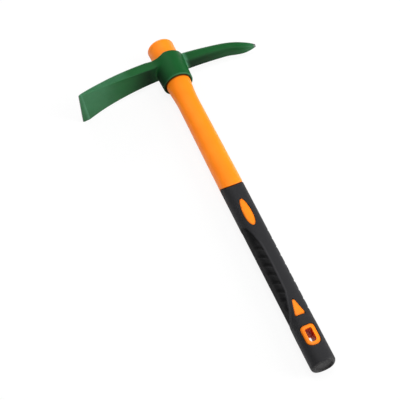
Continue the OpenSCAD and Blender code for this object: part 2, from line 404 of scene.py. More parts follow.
@dataclass(frozen=True)
class JacketPlastic:
    """Satin orange plastic with a moulded grain and faint scuffs along the handle, with painted shade in
    the lanyard hole and painted shade lines at the eye's mouth, the grip's top edge and the pads' edges.
    """

    body: Colour = srgb(254, 134, 15)
    deep: Colour = srgb(250, 128, 10)
    scuff: Colour = srgb(254, 148, 44)
    # painted shade for the lanyard hole's walls
    hollow: Colour = srgb(214, 60, 3)
    # painted shade: dark lines at the eye's mouth, at the grip's top edge and round the pads
    contact_shade: Colour = srgb(62, 26, 3)
    cloud_mm: float = 30.0
    grain_mm: float = 0.55
    streak_mm: float = 1.4
    streak_stretch: Triple = (1.0, 0.05, 1.0)
    roughness: float = 0.36
    specular: float = 0.22
    relief_mm: float = 0.05
    relief_strength: float = 0.25

    def material(self) -> bpy.types.Material:
        """Builds the material.

        Returns:
            The material.
        """
        material, sheet = new_sheet("jacket_plastic")
        cloud = sheet.noise(self.cloud_mm, 3.0)
        grain = sheet.noise(self.grain_mm)
        streak = sheet.noise(self.streak_mm, 3.0, self.streak_stretch)
        scuffs = (streak * cloud).step(0.34, 0.52)
        colour = sheet.blend(cloud.step(0.3, 0.7), self.deep, self.body)
        scuffed = sheet.blend(scuffs * 0.3, colour, self.scuff)
        # painted shade down in the lanyard hole
        hollow = sheet.blend(sheet.mark(Mark.SHADE), scuffed, self.hollow)
        sheet.close({
            # painted shade lines on the jacket, from the grain mark
            "Base Color": sheet.blend(sheet.mark(Mark.GRAIN_AND_SHADE), hollow, self.contact_shade),
            "Roughness": self.roughness + cloud * 0.1 + scuffs * 0.14,
            "Specular IOR Level": self.specular,
            "Normal": sheet.bump(grain * 0.7 + streak * 0.3, self.relief_mm, self.relief_strength)})
        return material


@dataclass(frozen=True)
class GripRubber:
    """Matt black rubber with a fine grain, patchy dust, painted highlights on its ridges, painted shade in
    its ribbed panel, and coarse on the butt.
    """

    body: Colour = srgb(36, 36, 38)
    # pale rubber for patchy dust and painted highlights on the spine's crest and the ribs' tops
    dust_and_sheen: Colour = srgb(54, 54, 56)
    coarse: Colour = srgb(64, 63, 62)
    # painted shade over the sunken ribbed panel
    sunk: Colour = srgb(6, 6, 7)
    cloud_mm: float = 22.0
    pore_mm: float = 0.7
    pebble_mm: float = 1.1
    roughness: float = 0.5
    specular: float = 0.16
    relief_mm: float = 0.12
    relief_strength: float = 0.4

    def material(self) -> bpy.types.Material:
        """Builds the material.

        Returns:
            The material.
        """
        material, sheet = new_sheet("grip_rubber")
        cloud = sheet.noise(self.cloud_mm, 3.0)
        pores = sheet.cells(self.pore_mm)
        pebble = sheet.noise(self.pebble_mm)
        edge = sheet.mark(Mark.EDGE)
        grain = sheet.mark(Mark.GRAIN_AND_SHADE)
        panel = sheet.mark(Mark.PANEL)
        # painted highlight from the edge mark on crest and ribs, plus patchy dust from the cloud
        dust_and_sheen_share = (edge * 0.8 + cloud * 0.4 - 0.1).step(0.2, 1.0)
        colour = sheet.blend(dust_and_sheen_share * 0.6, self.body, self.dust_and_sheen)
        # painted shade over the ribbed panel, less on the ribs' tops
        colour = sheet.blend(panel, colour, self.sunk)
        colour = sheet.blend(grain * pebble.step(0.35, 0.7), colour, self.coarse)
        height = pores * 0.5 + pebble * (0.3 + grain * 2.5)
        sheet.close({
            "Base Color": colour,
            "Roughness": self.roughness + cloud * 0.14 + pores * 0.12,
            "Specular IOR Level": self.specular,
            "Normal": sheet.bump(height, self.relief_mm, self.relief_strength)})
        return material


@dataclass(frozen=True)
class FibreglassRod:
    """Pale resin with the ends of its glass strands."""

    resin: Colour = srgb(206, 196, 150)
    strand: Colour = srgb(232, 228, 204)
    strand_mm: float = 0.55
    cloud_mm: float = 4.0
    cloud_stretch: Triple = (1.0, 0.1, 1.0)
    roughness: float = 0.42
    relief_mm: float = 0.05
    relief_strength: float = 0.4

    def material(self) -> bpy.types.Material:
        """Builds the material.

        Returns:
            The material.
        """
        material, sheet = new_sheet("fibreglass_rod")
        strands = sheet.cells(self.strand_mm).step(0.2, 0.55)
        cloud = sheet.noise(self.cloud_mm, 2.0, self.cloud_stretch)
        sheet.close({
            "Base Color": sheet.blend(strands * cloud.step(0.2, 0.8), self.strand, self.resin),
            "Roughness": self.roughness + strands * 0.2,
            "Normal": sheet.bump(strands, self.relief_mm, self.relief_strength)})
        return material


@dataclass(frozen=True)
class StudioWhite:
    """A white floor that keeps a soft shadow."""

    tone: Colour = (0.93, 0.93, 0.93)
    seen_share: float = 0.88
    mirrored_share: float = 0.1

    def material(self) -> bpy.types.Material:
        """Builds the material.

        Returns:
            The material.
        """
        material, sheet = new_sheet("studio_white")
        seen, mirrored = sheet.ray("Is Camera Ray"), sheet.ray("Is Glossy Ray")
        matt = sheet.node("ShaderNodeBsdfDiffuse", None, {"Color": self.tone})
        glow = sheet.node("ShaderNodeEmission", None, {"Color": WHITE, "Strength": 1.0})
        both = sheet.node("ShaderNodeMixShader", None, {
            0: seen * self.seen_share + mirrored * self.mirrored_share,
            1: matt.outputs["BSDF"], 2: glow.outputs["Emission"]})
        sheet.end(both.outputs["Shader"])
        return material


# Mesh tools


def edges_between(verts: Iterable[BMVert]) -> list[BMEdge]:
    """Edges whose two ends are both among the vertices."""
    chosen = set(verts)
    return list({edge for vert in chosen for edge in vert.link_edges
                 if edge.other_vert(vert) in chosen})


def profile_chain(bm: BMesh, points: list[Point]) -> list[BMVert | BMEdge]:
    """Draws a profile of radius and height in the plane of X and Y.

    Args:
        bm: mesh to draw in.
        points: radius and height of each point.

    Returns:
        The chain's vertices and edges.
    """
    verts = [bm.verts.new((r, h, 0.0)) for r, h in points]
    edges = [bm.edges.new(pair) for pair in zip(verts, verts[1:])]
    return [*verts, *edges]


def half_turned(points: list[Point], count: int) -> BMesh:
    """Spins a profile through half a turn, over the cheek at +Z.

    Args:
        points: radius and height of each point.
        count: steps of the half turn.

    Returns:
        The half shell, open along the plane of X and Y.
    """
    bm = bmesh.new()
    chain = profile_chain(bm, points)
    bmesh.ops.spin(bm, geom=chain, cent=(0, 0, 0), axis=(0, -1, 0), dvec=(0, 0, 0),
                   angle=math.pi, steps=count, use_merge=False, use_normal_flip=False,
                   use_duplicate=False)
    bmesh.ops.remove_doubles(bm, verts=bm.verts, dist=SEAM)
    return bm


def mirror_cheeks(bm: BMesh) -> None:
    """Mirrors a half shell to the other cheek and closes the seam.

    Args:
        bm: the half shell, over the cheek at +Z.
    """
    for vert in bm.verts:
        if abs(vert.co.z) < 10 * SEAM:
            vert.co.z = 0.0
    bmesh.ops.mirror(bm, geom=[*bm.verts, *bm.edges, *bm.faces], matrix=Matrix.Identity(4),
                     merge_dist=SEAM, axis="Z")
    bmesh.ops.remove_doubles(bm, verts=bm.verts, dist=SEAM)
    flat = [face for face in bm.faces if all(abs(vert.co.z) < SEAM for vert in face.verts)]
    bmesh.ops.delete(bm, geom=flat, context="FACES")
    bmesh.ops.recalc_face_normals(bm, faces=bm.faces)


def wrapped(rows: list[list[Vector]]) -> BMesh:
    """Wraps a grid into a closed tube through rows of points.

    Args:
        rows: rings of equally many points, from one end to the other.

    Returns:
        The tube with both ends filled.
    """
    bm = bmesh.new()
    around, along = len(rows[0]), len(rows) - 1
    bmesh.ops.create_grid(bm, x_segments=around, y_segments=along, size=0.5)
    for vert in bm.verts:
        column = round((vert.co.x + 0.5) * around) % around
        row = round((vert.co.y + 0.5) * along)
        vert.co = rows[row][column]
    bmesh.ops.remove_doubles(bm, verts=bm.verts, dist=SEAM)
    bmesh.ops.holes_fill(bm, edges=[edge for edge in bm.edges if edge.is_boundary], sides=0)
    bmesh.ops.recalc_face_normals(bm, faces=bm.faces)
    return bm


def mark_points(bm: BMesh, mark: Mark, share: Callable[[Vector], float]) -> None:
    """Writes a point attribute.

    Args:
        bm: mesh that gets it.
        mark: which attribute.
        share: its value at a place.
    """
    layer = bm.verts.layers.float.get(mark.value) or bm.verts.layers.float.new(mark.value)
    for vert in bm.verts:
        vert[layer] = share(vert.co)


def to_object(bm: BMesh, name: str, crease_deg: float) -> bpy.types.Object:
    """Turns a finished mesh into an object at the origin.

    Args:
        bm: mesh, freed here.
        name: the piece's name.
        crease_deg: edges that fold more than this stay sharp.

    Returns:
        The object.
    """
    for face in bm.faces:
        face.smooth = True
    for edge in bm.edges:
        edge.smooth = edge.calc_face_angle(0.0) < math.radians(crease_deg)
    mesh = bpy.data.meshes.new(name)
    bm.to_mesh(mesh)
    bm.free()
    made = bpy.data.objects.new(name, mesh)
    bpy.context.scene.collection.objects.link(made)
    return made


# Frame and outlines


@dataclass(frozen=True)
class HandleFrame:
    """Where the handle lies in the frame, in metres."""

    axis_x: float
    axis_z: float
    top_y: float
    butt_y: float
    grip_top_y: float

    @classmethod
    def read(cls) -> "HandleFrame":
        """Reads the handle's axis and ends from the solids.

        Returns:
            The handle's place.
        """
        core_low, core_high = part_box("handle_core")
        jacket_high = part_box("handle_jacket")[1]
        grip_low, grip_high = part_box("rubber_grip")
        return cls((core_low.x + core_high.x) / 2, (core_low.z + core_high.z) / 2,
                   jacket_high.y, grip_low.y, grip_high.y)

    def seat(self, bm: BMesh, zero_y: float) -> None:
        """Moves a mesh drawn in millimetres to its place in metres.

        Args:
            bm: mesh to move.
            zero_y: place of the drawing's zero along the handle.
        """
        bmesh.ops.scale(bm, vec=(MM, MM, MM), verts=bm.verts)
        bmesh.ops.translate(bm, vec=(self.axis_x, zero_y, self.axis_z), verts=bm.verts)


def rounded(corners: list[Point], radii: list[float], count: int = 8) -> list[Point]:
    """Outline whose corners are rounded, each by its own radius.

    Args:
        corners: the corners in order.
        radii: radius of each corner.
        count: steps in each arc.

    Returns:
        The outline's points.
    """
    points: list[Point] = []
    for i, corner in enumerate(corners):
        here = Vector(corner)
        back = (Vector(corners[i - 1]) - here).normalized()
        ahead = (Vector(corners[(i + 1) % len(corners)]) - here).normalized()
        half = back.angle(ahead) / 2
        middle = here + (back + ahead).normalized() * (radii[i] / math.sin(half))
        start = here + back * (radii[i] / math.tan(half)) - middle
        end = here + ahead * (radii[i] / math.tan(half)) - middle
        turn = math.pi - 2 * half
        for k in range(count + 1):
            spot = (start * math.sin(turn * (1 - k / count)) + end * math.sin(turn * k / count))
            spot = middle + spot / math.sin(turn)
            points.append((spot.x, spot.y))
    return points


@dataclass(frozen=True)
class Outline:
    """A closed outline on the handle's cheek: across and height above the butt."""

    points: tuple[Point, ...]

    def nearest(self, x: float, h: float) -> tuple[float, Point, Point]:
        """Nearest place on the outline.

        Args:
            x: place across the handle.
            h: height above the butt.

        Returns:
            Distance, negative inside; the place on the outline; the outward direction there.
        """
        best, spot, way, inside = math.inf, (0.0, 0.0), (0.0, 0.0), False
        for (ax, ah), (bx, bh) in zip(self.points, self.points[1:] + self.points[:1]):
            ux, uh = bx - ax, bh - ah
            run = ux * ux + uh * uh
            if run < NO_RUN:
                continue
            share = clamp(((x - ax) * ux + (h - ah) * uh) / run)
            px, ph = ax + ux * share, ah + uh * share
            gap = math.hypot(x - px, h - ph)
            if gap < best:
                length = math.sqrt(run)
                best, spot, way = gap, (px, ph), (uh / length, -ux / length)
            if (ah > h) != (bh > h) and x < ax + ux * (h - ah) / uh:
                inside = not inside
        return (-best if inside else best), spot, way

    def reach(self) -> tuple[Point, Point]:
        """Box round the outline.

        Returns:
            Its lowest and its highest corner.
        """
        across = [p[0] for p in self.points]
        along = [p[1] for p in self.points]
        return (min(across), min(along)), (max(across), max(along))


@dataclass(frozen=True)
class Windows:
    """The three windows in the rubber, on both cheeks."""

    oval_h: float = 168.4
    oval_l: float = 31.9
    oval_w: float = 8.9
    oval_lean: float = 0.1
    triangle_h: float = 59.8
    triangle_l: float = 20.4
    triangle_w: float = 10.2
    triangle_round: float = 1.2
    lanyard_h: float = 27.9
    lanyard_l: float = 13.6
    lanyard_w: float = 6.4
    lanyard_border: float = 3.6
    lanyard_corner: float = 0.45
    lanyard_end: float = 0.9

    def oval(self, spread: float = 0.0) -> Outline:
        """The long oval, slimmer toward the head.

        Args:
            spread: how far the outline is spread.

        Returns:
            The outline.
        """
        count = 56
        half_w, half_l = self.oval_w / 2 + spread, self.oval_l / 2 + spread
        turns = [2 * math.pi * i / count for i in range(count)]
        return Outline(tuple((half_w * math.cos(a) * (1 - self.oval_lean * math.sin(a)),
                              self.oval_h + half_l * math.sin(a)) for a in turns))

    def triangle(self, spread: float = 0.0) -> Outline:
        """The triangle that points to the head.

        Args:
            spread: how far the outline is spread.

        Returns:
            The outline.
        """
        half_w, half_l = self.triangle_w / 2 + spread, self.triangle_l / 2 + spread
        low, high = self.triangle_h - half_l, self.triangle_h + half_l
        return Outline(tuple(rounded([(-half_w, low), (half_w, low), (0.0, high)],
                                     [self.triangle_round] * 3)))

    def lanyard(self, spread: float = 0.0) -> Outline:
        """The lanyard hole, flat toward the head and round toward the butt.

        Args:
            spread: how far the outline is spread.

        Returns:
            The outline.
        """
        half_w, half_l = self.lanyard_w / 2 + spread, self.lanyard_l / 2 + spread
        low, high = self.lanyard_h - half_l, self.lanyard_h + half_l
        end, corner = half_w * self.lanyard_end, half_w * self.lanyard_corner
        return Outline(tuple(rounded([(-half_w, low), (half_w, low), (half_w, high), (-half_w, high)],
                                     [end, end, corner, corner])))

    def border(self, spread: float = 0.0) -> Outline:
        """The window round the lanyard hole's border, spread by a distance."""
        return self.lanyard(self.lanyard_border + spread)


@dataclass(frozen=True)
class HandleForm:
    """Sections of the handle by height above the butt, in millimetres."""

    length: float
    grip_l: float
    eye_stand: float = 21.0
    eye_h: float = 33.2
    bore_top_d: float = 28.4
    bore_mouth_d: float = 27.2
    seat_l: float = 20.0
    seat_gap: float = 0.06
    neck_w: float = 22.3
    shaft_w: float = 23.7
    flare_l: float = 43.0
    collar_dip: float = 7.5
    collar_run: float = 23.0
    grip_w: float = 23.2
    pommel_w: float = 23.5
    pommel_l: float = 36.0
    blend_share: float = 0.3
    grip_wall: float = 2.4
    squareness: float = 2.4

    @property
    def mouth_h(self) -> float:
        """Height of the eye's mouth."""
        return self.length - self.eye_stand - self.eye_h

    @property
    def seat_low_h(self) -> float:
        """Height where the taper begins."""
        return self.length - self.eye_stand - self.seat_l

    @property
    def flare_low_h(self) -> float:
        """Height where the handle begins to swell to its taper."""
        return self.seat_low_h - self.flare_l

    def bore_r(self, h: float) -> float:
        """Radius of the eye's tapered hole."""
        return mix(self.bore_mouth_d, self.bore_top_d, (h - self.mouth_h) / self.eye_h) / 2

    def bare_r(self, h: float) -> float:
        """Half width of the handle above the grip.

        Args:
            h: height above the butt.

        Returns:
            The half width.
        """
        if h >= self.seat_low_h:
            return self.bore_r(h) - self.seat_gap
        if h >= self.flare_low_h:
            full = self.bore_r(self.seat_low_h) - self.seat_gap
            return mix(self.neck_w / 2, full, smooth((h - self.flare_low_h) / self.flare_l))
        share = (h - self.grip_l) / (self.flare_low_h - self.grip_l)
        return mix(self.shaft_w, self.neck_w, share) / 2

    def grip_r(self, h: float) -> float:
        """Half width of the grip.

        Args:
            h: height above the butt.

        Returns:
            The half width.
        """
        blend_h = self.pommel_l * (1 + self.blend_share)
        waist = mix(self.grip_w, self.shaft_w, clamp((h - blend_h) / (self.grip_l - blend_h))) / 2
        return mix(self.pommel_w / 2, waist, smooth((h - self.pommel_l) / (blend_h - self.pommel_l)))

    def power(self, h: float) -> float:
        """Exponent of the section: 2 is a circle, more is squarer."""
        return mix(self.squareness, 2.0, smooth((h - self.flare_low_h) / self.flare_l))

    def squared(self, x: float, z: float, h: float) -> float:
        """Factor that turns a circle's point into one of the squarer section.

        Args:
            x: place across the handle.
            z: height above the axis.
            h: height above the butt.

        Returns:
            The factor.
        """
        n, far = self.power(h), math.hypot(x, z)
        if far < SEAM:
            return 1.0
        return (abs(x / far) ** n + abs(z / far) ** n) ** (-1 / n)

    def dipped(self, x: float, z: float, h: float) -> float:
        """Height moved down where the grip's upper edge dips on the cheeks.

        Args:
            x: place across the handle.
            z: height above the axis.
            h: height above the butt.

        Returns:
            The moved height.
        """
        near = clamp(1 - abs(h - self.grip_l) / self.collar_run)
        n = self.power(h)
        return h - self.collar_dip * near * abs(z) / max(SEAM, (abs(x) ** n + abs(z) ** n) ** (1 / n))

    def cheek_z(self, x: float, h: float, inset: float = 0.0) -> float:
        """Height above the axis of the grip's cheek, or of a skin inside it.

        Args:
            x: place across the handle.
            h: height above the butt.
            inset: how much less the skin's half width is than the grip's.

        Returns:
            The height.
        """
        r, n = self.grip_r(h) - inset, self.power(h)
        return r * max(0.0, 1 - abs(x / r) ** n) ** (1 / n)


# Windows cut into a sheet


@dataclass(frozen=True)
class RimStep:
    """One ring of a rim: distance past the outline, inward, and depth under the skin."""

    inward: float
    depth: float


def open_window(bm: BMesh, outline: Outline, skin: Callable[[BMFace], bool], keep_inside: bool,
                height: Callable[[float, float], float]) -> list[BMVert]:
    """Deletes a sheet's faces on one side of an outline and fits the edge to the outline.

    Args:
        bm: mesh that holds the sheet over the cheek at +Z.
        outline: where the edge runs.
        skin: whether a face belongs to the sheet.
        keep_inside: whether the inside of the outline stays.
        height: the sheet's height above the axis, across and along the handle.

    Returns:
        The vertices on the new edge.
    """
    gone, near = [], WINDOW_MARGIN
    (low_x, low_h), (high_x, high_h) = outline.reach()
    for face in bm.faces:
        middle = face.calc_center_median()
        if not skin(face):
            continue
        if not keep_inside and not (low_x - near < middle.x < high_x + near
                                    and low_h - near < middle.y < high_h + near):
            continue
        inside = outline.nearest(middle.x, middle.y)[0] < 0
        if inside != keep_inside:
            gone.append(face)
    touched = {vert for face in gone for vert in face.verts}
    bmesh.ops.delete(bm, geom=gone, context="FACES")
    rim = [vert for vert in touched if vert.is_valid and vert.is_boundary]
    ring = {edge.other_vert(vert) for vert in rim for edge in vert.link_edges} - set(rim)
    for vert in rim:
        spot = outline.nearest(vert.co.x, vert.co.y)[1]
        vert.co = (spot[0], spot[1], height(*spot))
    for _ in range(WINDOW_PASSES):
        bmesh.ops.smooth_vert(bm, verts=list(ring), factor=0.5, use_axis_x=True,
                              use_axis_y=True, use_axis_z=True)
        for vert in ring:
            vert.co.z = height(vert.co.x, vert.co.y)
    return rim


def fold_rim(bm: BMesh, rim: list[BMVert], outline: Outline, folds: Iterable[RimStep],
             height: Callable[[float, float], float]) -> list[BMVert]:
    """Extrudes the edge of a window into a rounded rim.

    Args:
        bm: mesh that holds the edge.
        rim: vertices on the edge.
        outline: where the edge runs.
        folds: the rim's rings in order.
        height: the sheet's height above the axis.

    Returns:
        The vertices of the last ring.
    """
    homes = {vert: outline.nearest(vert.co.x, vert.co.y)[1:] for vert in rim}
    for fold in folds:
        chosen = [edge for edge in edges_between(homes) if edge.is_boundary]
        made = bmesh.ops.extrude_edge_only(bm, edges=chosen)["geom"]
        fresh = {item for item in made if isinstance(item, BMVert)}
        moved = {}
        for vert, (spot, way) in homes.items():
            child = next(edge.other_vert(vert) for edge in vert.link_edges
                         if edge.other_vert(vert) in fresh)
            moved[child] = (spot, way)
            x, h = spot[0] - way[0] * fold.inward, spot[1] - way[1] * fold.inward
            child.co = (x, h, max(0.0, height(x, h) - fold.depth))
        homes = moved
    return list(homes)


# Pieces


@dataclass(frozen=True)
class Fillets:
    """Fillets of an arm's root: at the cheeks, at the top and below."""

    cheek: float
    top: float
    below: float


@dataclass(frozen=True)
class HeadWearAndLight:
    """Where the head's paint is worn off or rubbed pale, and where painted highlights and painted shade
    go, by distances in millimetres.
    """

    bare_edge: Fade = Fade(0.0, 1.0)
    bare_point: Fade = Fade(0.0, 4.5)
    # pale_point is paint rubbed toward the pick's point; pale_mouth to pale_blade_lean place painted
    # highlights on the mouth's rim, beside the pick's root and on the adze
    pale_point: Fade = Fade(2.2, 24.2, 0.5)
    pale_mouth: Fade = Fade(0.9, 1.4, 0.45)
    pale_root: Fade = Fade(16.6, 15.6, 0.85)
    pale_root_end: Fade = Fade(1.0, 2.0)
    pale_root_low: Fade = Fade(-4.0, -12.0)
    pale_ridge: Fade = Fade(0.21, 0.91, 0.7)
    pale_cheek: Fade = Fade(0.0, 0.3, 0.52)
    pale_cheek_from: Fade = Fade(56.0, 34.0)
    pale_bevel: Fade = Fade(0.25, 0.75, 0.85)
    pale_blade_from: Fade = Fade(82.0, 38.0)
    pale_blade_share: float = 0.5
    pale_blade_lean: float = 0.09
    # the dark_* fields and off_eye place painted shade under the arms, beside the adze and in the mouth
    dark_facing: Fade = Fade(0.77, 0.0)
    dark_adze: Fade = Fade(0.0, 42.0)
    dark_pick: Fade = Fade(0.0, 90.0)
    dark_flank: Fade = Fade(0.9, 0.3)
    dark_flank_top: Fade = Fade(-2.0, 6.0, 0.85)
    dark_mouth: Fade = Fade(0.6, 0.0)
    dark_mouth_low: Fade = Fade(0.5, 1.0)
    off_eye: Fade = Fade(1.5, 0.0)


@dataclass
class PickHead:
    """The forged head: eye, adze and pick in one piece, drawn round the eye's middle."""

    form: HandleForm
    place: HandleFrame
    eye_d: float = 35.2
    eye_mouth_d: float = 32.4
    rim: float = 1.0
    crown_dip: float = 2.4
    crown_root: float = 1.1
    crown_run: float = 12.0
    crown_slope: float = 1.9
    crown_lag: float = 0.1
    crown_back: Fade = Fade(1.0, 0.6)
    crown_gap: float = 0.05
    lead_in: float = 1.0
    rim_steps: int = 6
    eye_rows: int = 34
    bore_rows: int = 8
    eye_steps: int = 144
    adze_reach: float = 104.3
    adze_edge_w: float = 44.2
    adze_root_w: float = 20.8
    adze_root_t: float = 12.2
    adze_blade_t: float = 3.0
    adze_edge_t: float = 0.8
    adze_bevel: float = 5.5
    adze_bevel_skew: float = 2.4
    adze_drop: float = 10.0
    adze_rise: float = 4.5
    adze_curve: float = 2.6
    adze_skew: float = 1.1
    adze_flare: float = 1.6
    adze_corners: tuple[float, float] = (1.2, 2.6)
    adze_edge_round: float = 0.9
    adze_round_share: float = 0.9
    adze_crease: float = 0.15
    adze_land: float = 0.4
    adze_blade_gap: float = 1.0
    adze_lean: Fade = Fade(1.0, 6.0)
    adze_corner_steps: int = 8
    adze_rows: int = 44
    adze_fillets: Fillets = Fillets(5.0, 2.0, 1.2)
    pick_reach: float = 93.2
    pick_root_w: float = 17.4
    pick_shoulder_w: float = 12.8
    pick_root_t: float = 14.0
    pick_shoulder_t: float = 11.7
    pick_shoulder: float = 65.0
    pick_rise: float = 9.4
    pick_drop: float = 10.2
    pick_nose: float = 2.6
    pick_nose_run: tuple[float, float] = (0.64, 0.91)
    pick_curve: float = 2.1
    pick_tip: float = 2.6
    pick_fullness: float = 2.6
    pick_round: float = 0.62
    pick_keel: float = 0.64
    pick_keel_t: float = 1.4
    pick_rows: int = 30
    pick_fillets: Fillets = Fillets(2.6, 0.2, 1.4)
    root_gap: float = 1.5
    fillet_steps: int = 8
    fillet_rounds: int = 4
    root_least_x: float = 1.0
    sink: float = 1.4
    corner_steps: int = 4
    side_steps: int = 8
    crease_deg: float = 28.0
    wear: HeadWearAndLight = field(default_factory=HeadWearAndLight)
    finish: ForgePaint = field(default_factory=ForgePaint)

    @property
    def top(self) -> float:
        """Height of the eye's top above its middle."""
        return self.form.eye_h / 2

    def eye_r(self, y: float) -> float:
        """Outside radius of the eye, with its rounded rims.

        Args:
            y: height above the eye's middle.

        Returns:
            The radius.
        """
        r = mix(self.eye_mouth_d, self.eye_d, (y + self.top) / (2 * self.top)) / 2
        over = clamp((abs(y) - (self.top - self.rim)) / self.rim)
        return r - self.rim * (1 - math.sqrt(1 - over * over))

    def crown_y(self, x: float) -> float:
        """Height of the eye's top, which dips toward the adze.

        Args:
            x: place across the handle, negative on the adze's side.

        Returns:
            The height above the eye's middle.
        """
        toward = -x / (self.eye_d / 2)
        back_up = (self.crown_dip - self.crown_root) * self.crown_back.curve(toward)
        return self.top - self.crown_dip * smooth(self.crown_slope * toward - self.crown_lag) + back_up

    def bore_r(self, y: float) -> float:
        """Radius of the hole, by height above the eye's middle."""
        return self.form.bore_r(self.form.mouth_h + self.top + y)

    def eye(self) -> BMesh:
        """Spins the eye's wall with rounded rims, tapered hole and chamfered mouth.

        Returns:
            The eye.
        """
        rim = quarter(self.rim_steps)
        full = self.top - self.rim
        wall = [(self.eye_r(y), y) for y in steps(-full, full, self.eye_rows)[1:-1]]
        low = [(self.eye_r(-full) - self.rim * (1 - math.cos(a)), -full - self.rim * math.sin(a))
               for a in reversed(rim)]
        high = [(self.eye_r(full) - self.rim * (1 - math.cos(a)), full + self.rim * math.sin(a))
                for a in rim]
        mouth = self.bore_r(-self.top)
        bore = [(self.bore_r(y), y)
                for y in steps(self.top - self.lead_in / 2, -full, self.bore_rows)]
        points = [(mouth + self.lead_in, -self.top), *low, *wall, *high,
                  (self.bore_r(self.top) + self.lead_in / 2, self.top), *bore]
        bm = bmesh.new()
        chain = profile_chain(bm, [*points, points[0]])
        bmesh.ops.spin(bm, geom=chain, cent=(0, 0, 0), axis=(0, 1, 0), dvec=(0, 0, 0),
                       angle=2 * math.pi, steps=self.eye_steps, use_merge=True,
                       use_normal_flip=False, use_duplicate=False)
        bmesh.ops.remove_doubles(bm, verts=bm.verts, dist=SEAM)
        for vert in bm.verts:
            vert.co.y -= (self.top - self.crown_y(vert.co.x)) * smooth(vert.co.y / self.top)
        bmesh.ops.recalc_face_normals(bm, faces=bm.faces)
        return bm

    def section(self, half_t: float, near_w: float, far_w: float, r: float) -> Ring:
        """A rectangle with rounded corners and points along its sides.

        Args:
            half_t: half the thickness along the handle.
            near_w: reach toward the near cheek.
            far_w: reach toward the far cheek.
            r: corner radius.

        Returns:
            Each point with its outward direction, as height and depth.
        """
        arcs = []
        for sy, sz, start in ((1, 1, 0.0), (-1, 1, 90.0), (-1, -1, 180.0), (1, -1, 270.0)):
            wide = near_w if sz > 0 else far_w
            for i in range(self.corner_steps + 1):
                a = math.radians(start + 90.0 * i / self.corner_steps)
                way = Vector((math.cos(a), math.sin(a)))
                arcs.append((Vector((sy * (half_t - r), sz * (wide - r))) + way * r, way))
        ring = []
        count = self.corner_steps + 1
        for i, (spot, way) in enumerate(arcs):
            ring.append((spot, way))
            if i % count == count - 1:
                ahead = arcs[(i + 1) % len(arcs)][0]
                ring += [(spot.lerp(ahead, k / self.side_steps), way) for k in range(1, self.side_steps)]
        return ring

    def adze_section(self, x: float) -> tuple[float, Ring]:
        """Section of the adze.

        Args:
            x: distance from the handle's axis.

        Returns:
            The section's middle, as height above the eye's middle, and its ring.
        """
        bevel_x = self.adze_reach - self.adze_bevel
        low = self.adze_rise - self.adze_drop * (x / self.adze_reach) ** self.adze_curve
        high = low + mix(self.adze_root_t, self.adze_blade_t, (x / bevel_x) ** 2)
        high = min(high, self.top - self.crown_root * smooth(1 - (x - self.eye_d / 2) / self.crown_run))
        if x > bevel_x:
            low = high - mix(self.adze_blade_t, self.adze_edge_t, (x - bevel_x) / self.adze_bevel)
        half_w = mix(self.adze_root_w, self.adze_edge_w, (x / self.adze_reach) ** self.adze_flare) / 2
        cut = []
        for r in self.adze_corners:
            over = clamp(1 - (self.adze_reach - x) / r)
            cut.append(half_w - r * (1 - math.sqrt(1 - over * over)))
        half_t = (high - low) / 2
        r = min(self.adze_edge_round, half_t * self.adze_round_share)
        return (low + high) / 2, self.section(half_t, *cut, r)

    def pick_section(self, x: float) -> tuple[float, Ring]:
        """Section of the pick, narrower below at its root.

        Args:
            x: distance from the handle's axis.

        Returns:
            The section's middle, as height above the eye's middle, and its ring.
        """
        point = clamp((x - self.pick_shoulder) / (self.pick_reach - self.pick_shoulder))
        full = 1 - point ** self.pick_fullness
        root_x = self.eye_d / 2
        run = clamp((x - root_x) / (self.pick_shoulder - root_x))
        half_w = mix(self.pick_tip, mix(self.pick_root_w, self.pick_shoulder_w, run), full) / 2
        half_t = mix(self.pick_tip, mix(self.pick_root_t, self.pick_shoulder_t, run), full) / 2
        low, high = (share * self.pick_reach for share in self.pick_nose_run)
        middle = self.pick_rise - self.pick_drop * (x / self.pick_reach) ** self.pick_curve
        middle -= self.pick_nose * smooth((x - low) / (high - low))
        root = 1 - run
        deeper = self.pick_keel_t * root / 2
        ring = self.section(half_t + deeper, half_w, half_w, self.pick_round * min(half_t, half_w))
        for spot, _ in ring:
            low = clamp(0.5 - spot.x / (2 * (half_t + deeper)))
            spot.y *= mix(1.0, self.pick_keel, low * root)
        return middle - deeper, ring

    def root_rows(self, section: Section, fillets: Fillets, side: int) -> list[list[Vector]]:
        """Rows of an arm's root: a fillet that runs onto the eye and sinks into its wall.

        Args:
            section: the arm's section by distance from the handle's axis.
            fillets: the arm's fillets.
            side: 1 for the pick, -1 for the adze.

        Returns:
            Rows from the arm to inside the eye's wall.
        """
        turns = quarter(self.fillet_steps)
        rows = []
        for turn, sink in [*((a, 0.0) for a in turns), (turns[-1], self.sink)]:
            row = []
            for i in range(len(section(self.eye_d)[1])):
                x = self.eye_d / 2 + fillets.cheek
                for _ in range(self.fillet_rounds):
                    middle, ring = section(x)
                    spot, way = ring[i]
                    f = mix(fillets.cheek, fillets.top if way.x > 0 else fillets.below, smooth(abs(way.x)))
                    grown = spot + way * f * (1 - math.cos(turn))
                    y = min(middle + grown.x, self.crown_y(side * x) - self.crown_gap)
                    r = self.eye_r(y) - sink
                    reach = math.sqrt(max(self.root_least_x ** 2, r * r - grown.y ** 2))
                    x = reach + f * (1 - math.sin(turn))
                row.append(Vector((side * x, y, grown.y)))
            rows.append(row)
        return rows

    def arm_row(self, section: Section, x: float, side: int) -> list[Vector]:
        """One flat row of an arm."""
        middle, ring = section(x)
        return [Vector((side * x, middle + spot.x, spot.y)) for spot, _ in ring]

